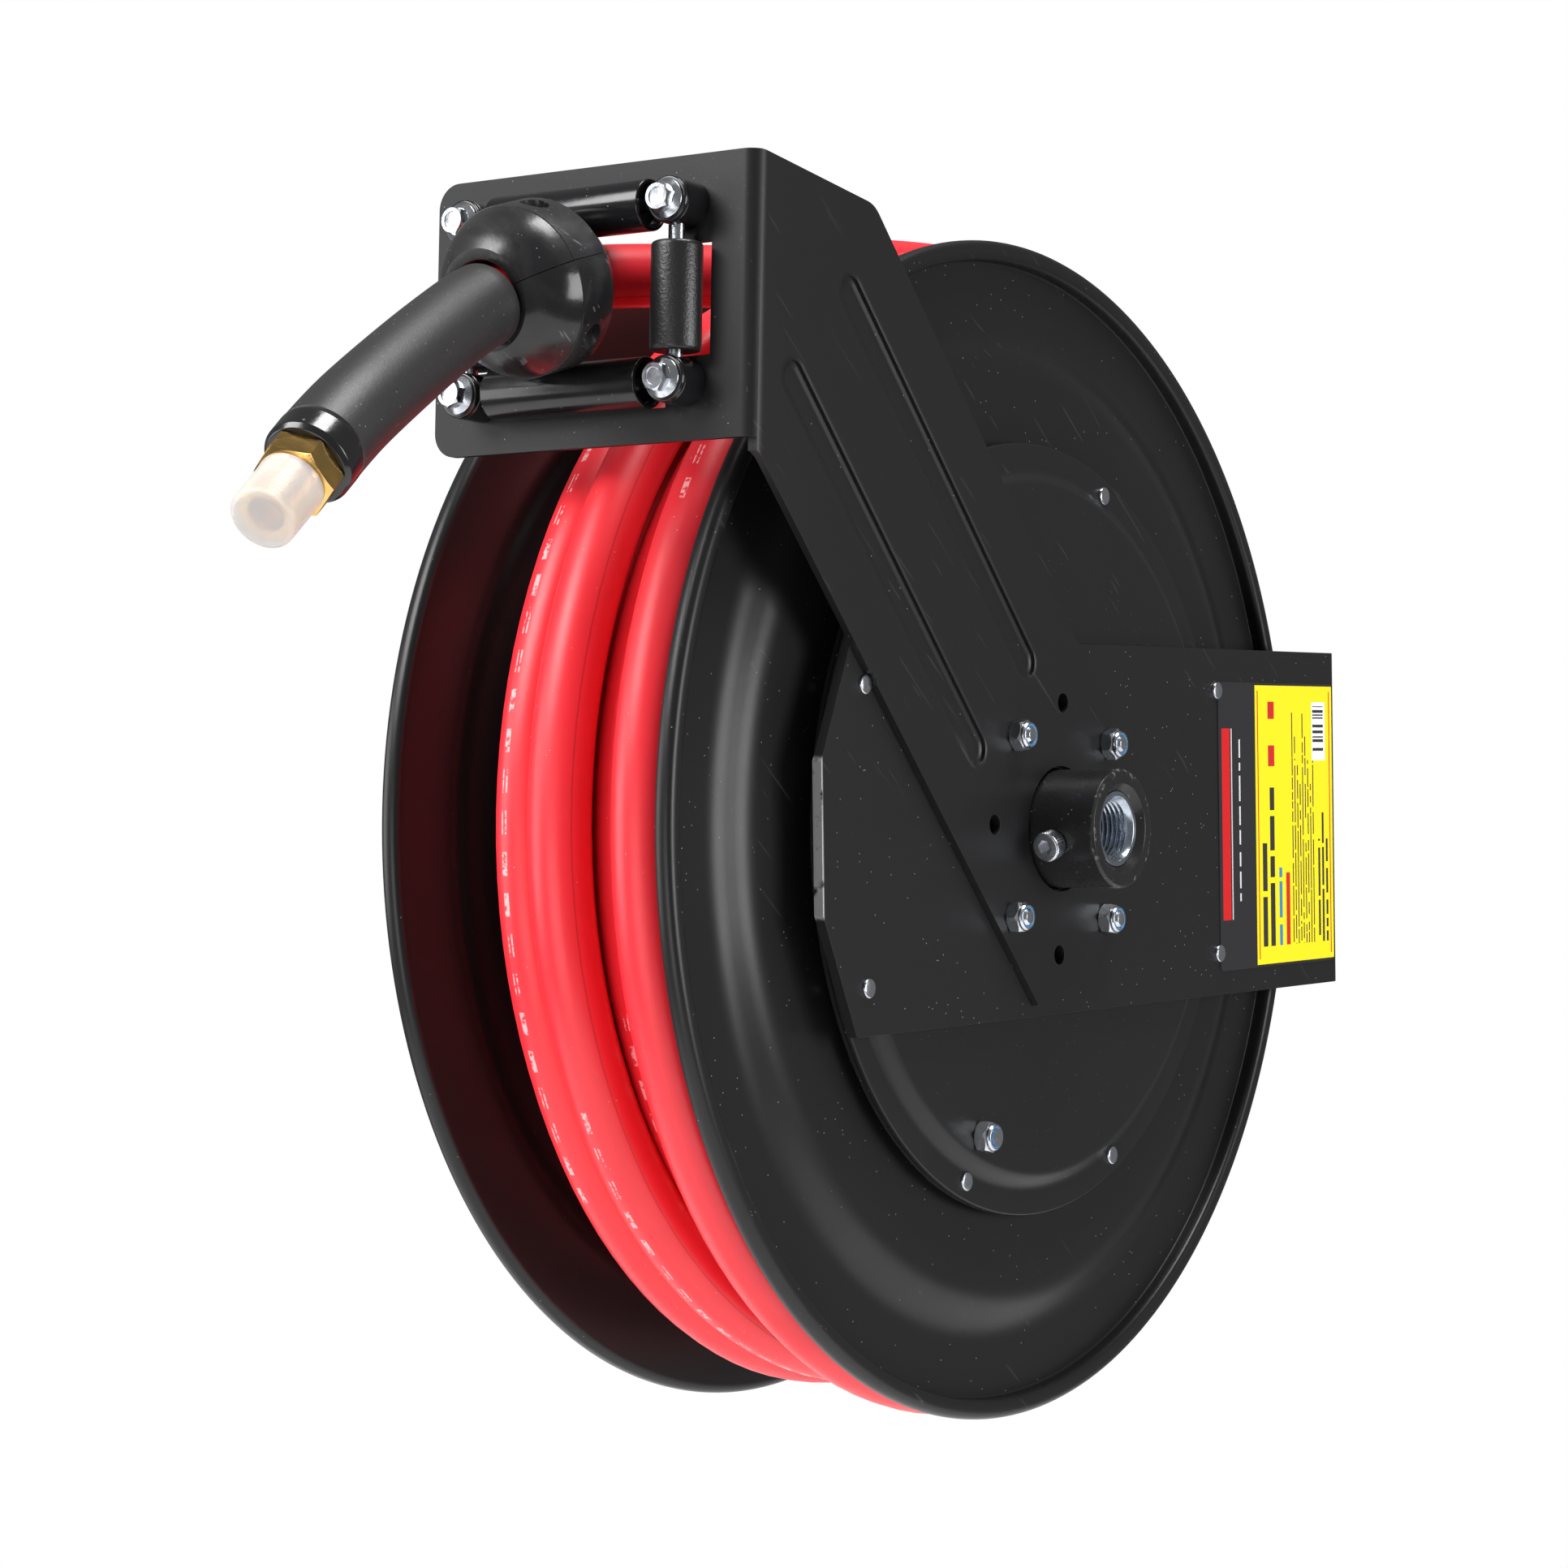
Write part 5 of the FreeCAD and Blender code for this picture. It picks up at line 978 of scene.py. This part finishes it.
class REEL_OT_hose(bpy.types.Operator):
    """Wound hose on the drum and the free hose through the guide"""
    bl_idname = "reel.hose"
    bl_label = "Hose"

    def execute(self, context):
        self.wind(context)
        self.lead_out(context)
        return {"FINISHED"}

    def wind(self, context):
        per_turn = 16
        grow = 1 / math.cos(math.pi / per_turn)
        points = [(-43, AXLE_Y - 32, 105), (-43.3, AXLE_Y - 56, 105), (-45, AXLE_Y - 88, 98)]
        last = len(TURNS) - 1
        for turn, (x, radius) in enumerate(TURNS):
            # the step from one turn to the next is at the back, out of sight
            first = 6 if turn == 0 else 0
            for i in range(first, per_turn):
                angle = math.tau * (i + 0.5) / per_turn
                low = max(0.0, -math.sin(angle)) ** 2
                sag = 9 * low if turn == last - 1 else 0
                points.append(self.place(x, (radius - sag) * grow, angle))
        for i in range(per_turn // 4):
            angle = math.tau * (i + 0.5) / per_turn
            points.append(self.place(TURNS[last][0], TURNS[last][1] * grow, angle))
        points.append((TURNS[last][0], AXLE_Y, TURNS[last][1]))
        curve = hose_curve("wound_hose", points, look().hose_radius, 7)
        hose = bpy.data.objects.new("wound_hose", curve)
        context.scene.collection.objects.link(hose)
        curve.materials.append(FINISHES["hose"])
        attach(hose, "reel")
        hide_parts("hose_coil")

    def place(self, x, radius, angle):
        return (x, AXLE_Y + radius * math.cos(angle), radius * math.sin(angle))

    def lead_out(self, context):
        curve = hose_curve("free_hose", FREE_HOSE, look().hose_radius)
        hose = bpy.data.objects.new("free_hose", curve)
        context.scene.collection.objects.link(hose)
        curve.materials.append(FINISHES["free_hose"])
        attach(hose, "frame")
        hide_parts("hose_tail")


class REEL_OT_hose_end(bpy.types.Operator):
    """Bend sleeve, end ring, brass fitting and milky cap"""
    bl_idname = "reel.hose_end"
    bl_label = "Hose end"

    def execute(self, context):
        line = route_points(FREE_HOSE, "route")
        end, tip = station(line, 0)
        ball = ball_place().translation
        at_ball = min(range(len(line)), key=lambda i: (line[i] - ball).length)
        rear = line_length(line[at_ball:]) - 0.0248
        r = look().sleeve_radius
        outer = [(rear, 0.0108), (rear, r - 0.0012), (rear - 0.0003, r - 0.0005),
                 (rear - 0.0011, r)]
        steps = 22
        for i in range(1, steps):
            t = i / steps
            outer.append((rear - 0.0011 - (rear - 0.0011 - 0.0102) * t, r + 0.0003 * t))
        outer += [(0.0102, r + 0.0003), (0.0098, r - 0.0002), (0.0098, 0.0102)]
        inner = [(0.0098 + (rear - 0.0098) * i / 12, 0.0102) for i in range(1, 12)]
        finished(tube_along(line, outer + inner), "bend_sleeve", FINISHES["black_rubber"], "frame",
                 ("bend_restrictor",))
        seat = Matrix.Translation(end) @ aimed_turn(tip)
        ring = [(-10, 10.2), (-10, 13.0, 0.3), (-8.6, 13.35, 0.6), (-1.6, 13.3, 0.9),
                (0, 12.2, 0.6), (0, 10.2)]
        turned("hose_end_ring", ring, seat, FINISHES["ring_rubber"], "frame", ("end_ring",),
               steps=72)
        collar = hexagon(21, 0, 8, True, True)
        thread = [(8, 0), (8, 8.2)]
        pitch = FITTING_PITCH
        for i in range(11):
            at = 9 + i * pitch
            thread += [(at, 8.0), (at + pitch * 0.42, 8.85), (at + pitch * 0.58, 8.85)]
        thread += [(24, 7.9, 0.3), (24, 0)]
        barrel = carve(spun(thread, 64), rod(5.5, 15, 26, 48))
        finished(gathered([(collar, seat @ Matrix.Rotation(0.25, 4, "X")), (barrel, seat)]),
                 "brass_fitting", FINISHES["brass"], "frame", ("hose_fitting",), sharp=25)
        cap = [(8.6, 8.95, 0.1), (8.6, 9.9, 0.2), (10.2, 9.75), (26.2, 9.55, 1.3),
               (27.4, 8.2, 1.0), (27.4, 0), (26.2, 0), (26.2, 8.7, 0.6)]
        turned("milky_thread_cap", cap, seat, FINISHES["cap_plastic"], "cap", ("thread_cap",),
               steps=72)
        on_hose = [bpy.data.objects[n] for n in
                   ("bend_sleeve", "hose_end_ring", "brass_fitting", "milky_thread_cap",
                    "ball_upper_half", "ball_lower_half")]
        on_hose.append(frame["nodes"]["ball_screws"])
        return {"FINISHED"}


class REEL_OT_rating_label(bpy.types.Operator):
    """Printed label near the wall"""
    bl_idname = "reel.rating_label"
    bl_label = "Rating label"

    def execute(self, context):
        sheet = block((60, -97, -54.5), (60.3, -6.3, 51))
        upright = [e for e in sheet.edges if abs(e.verts[0].co.x - e.verts[1].co.x) > 0.1]
        bmesh.ops.bevel(sheet, geom=upright, offset=1.5, segments=4, profile=0.5,
                        affect="EDGES", material=-1)
        finished(gathered([(sheet, Matrix.Identity(4))]), "printed_label", FINISHES["label"],
                 "frame", ("rating_label",))
        return {"FINISHED"}


class REEL_OT_plain_nodes(bpy.types.Operator):
    """Finishes on the CAD parts that keep their own shape"""
    bl_idname = "reel.plain_nodes"
    bl_label = "Other parts"

    def execute(self, context):
        for name, finish in NODE_FINISH.items():
            node = frame["nodes"][name]
            node.data.materials.clear()
            node.data.materials.append(FINISHES[finish])
        return {"FINISHED"}


class REEL_OT_stage(bpy.types.Operator):
    """Camera, soft lights and floor"""
    bl_idname = "reel.stage"
    bl_label = "Stage"

    def execute(self, context):
        scene = context.scene
        lens = bpy.data.cameras.new("camera")
        lens.sensor_width = 36
        lens.lens = 87.67
        camera = bpy.data.objects.new("camera", lens)
        right = Vector((0.82025, 0.57187, -0.01256))
        up = Vector((0.00727, 0.01154, 0.99991))
        back = Vector((0.57196, -0.82026, 0.00531))
        camera.matrix_world = (Matrix.Translation((0.72566, -1.328, 0.0232)) @
                               Matrix((right, up, back)).transposed().to_4x4())
        scene.collection.objects.link(camera)
        scene.camera = camera

        centre = Vector((0.0, -0.25, 0.0))
        left = -right
        toward = Vector((0.572, -0.820, 0.0))
        lights = (("key", left * 1.5 + toward * 0.9 + Vector((0, 0, 1.3)), 1.1, 50.0),
                  ("edge", left * 1.9 + toward * 0.1 + Vector((0, 0, 0.1)), 1.0, 13.0),
                  ("fill", right * 1.9 + toward * 0.9 + Vector((0, 0, 0.1)), 1.0, 30.0),
                  ("top", Vector((0.5, 0.1, 1.9)), 0.8, 42.0),
                  ("low", toward * 1.6 + left * 0.8 + Vector((0, 0, -0.4)), 1.0, 9.0))
        for name, offset, size, power in lights:
            glow = bpy.data.lights.new(name, "AREA")
            glow.size = size
            glow.energy = power
            lamp = bpy.data.objects.new(name, glow)
            lamp.location = centre + offset
            lamp.rotation_mode = "QUATERNION"
            lamp.rotation_quaternion = (-offset).to_track_quat("-Z", "Y")
            scene.collection.objects.link(lamp)

        world = bpy.data.worlds.new("studio")
        world.use_nodes = True
        graph = Graph(world.node_tree)
        world.node_tree.nodes.clear()
        seen = graph.add("ShaderNodeBackground", {"Color": (1, 1, 1, 1), "Strength": 1.0})
        felt = graph.add("ShaderNodeBackground", {"Color": (1, 1, 1, 1), "Strength": 0.17})
        path = graph.add("ShaderNodeLightPath")
        both = graph.add("ShaderNodeMixShader", {0: path.outputs["Is Camera Ray"],
                                                 1: felt.outputs[0], 2: seen.outputs[0]})
        end = graph.add("ShaderNodeOutputWorld")
        world.node_tree.links.new(both.outputs[0], end.inputs[0])
        scene.world = world
        scene.view_settings.view_transform = "Standard"

        ground = bmesh.new()
        bmesh.ops.create_grid(ground, x_segments=4, y_segments=4, size=0.8)
        ground.transform(Matrix.Translation((0, -0.25, -0.52)))
        mesh = bpy.data.meshes.new("floor")
        ground.to_mesh(mesh)
        ground.free()
        floor = bpy.data.objects.new("floor", mesh)
        scene.collection.objects.link(floor)
        pale = bpy.data.materials.new("pale floor")
        pale.use_nodes = True
        shader = pale.node_tree.nodes["Principled BSDF"]
        shader.inputs["Base Color"].default_value = (0.9, 0.9, 0.9, 1)
        shader.inputs["Roughness"].default_value = 0.8
        mesh.materials.append(pale)
        return {"FINISHED"}


STEPS = (REEL_OT_stage, REEL_OT_hose, REEL_OT_flanges, REEL_OT_spring_cover, REEL_OT_bracket,
         REEL_OT_hub, REEL_OT_fasteners, REEL_OT_roller_cage, REEL_OT_ball_stop,
         REEL_OT_hose_end, REEL_OT_rating_label, REEL_OT_plain_nodes)


class REEL_PT_sidebar(bpy.types.Panel):
    """Lists the steps that build the hose reel"""
    bl_idname = "REEL_PT_sidebar"
    bl_label = "Hose reel"
    bl_space_type = "VIEW_3D"
    bl_region_type = "UI"
    bl_category = "Hose reel"

    def draw(self, context):
        for name in ReelLook.__annotations__:
            self.layout.prop(context.scene.reel_look, name)
        for step in STEPS:
            self.layout.operator(step.bl_idname)


CLASSES = (ReelLook, *STEPS, REEL_PT_sidebar)


def register():
    for made in CLASSES:
        bpy.utils.register_class(made)
    bpy.types.Scene.reel_look = bpy.props.PointerProperty(type=ReelLook)


def unregister():
    del bpy.types.Scene.reel_look
    for made in reversed(CLASSES):
        bpy.utils.unregister_class(made)


def main():
    register()
    FINISHES.update(make_finishes())
    for step in STEPS:
        group, name = step.bl_idname.split(".")
        getattr(getattr(bpy.ops, group), name)()


if __name__ == "__main__":
    main()
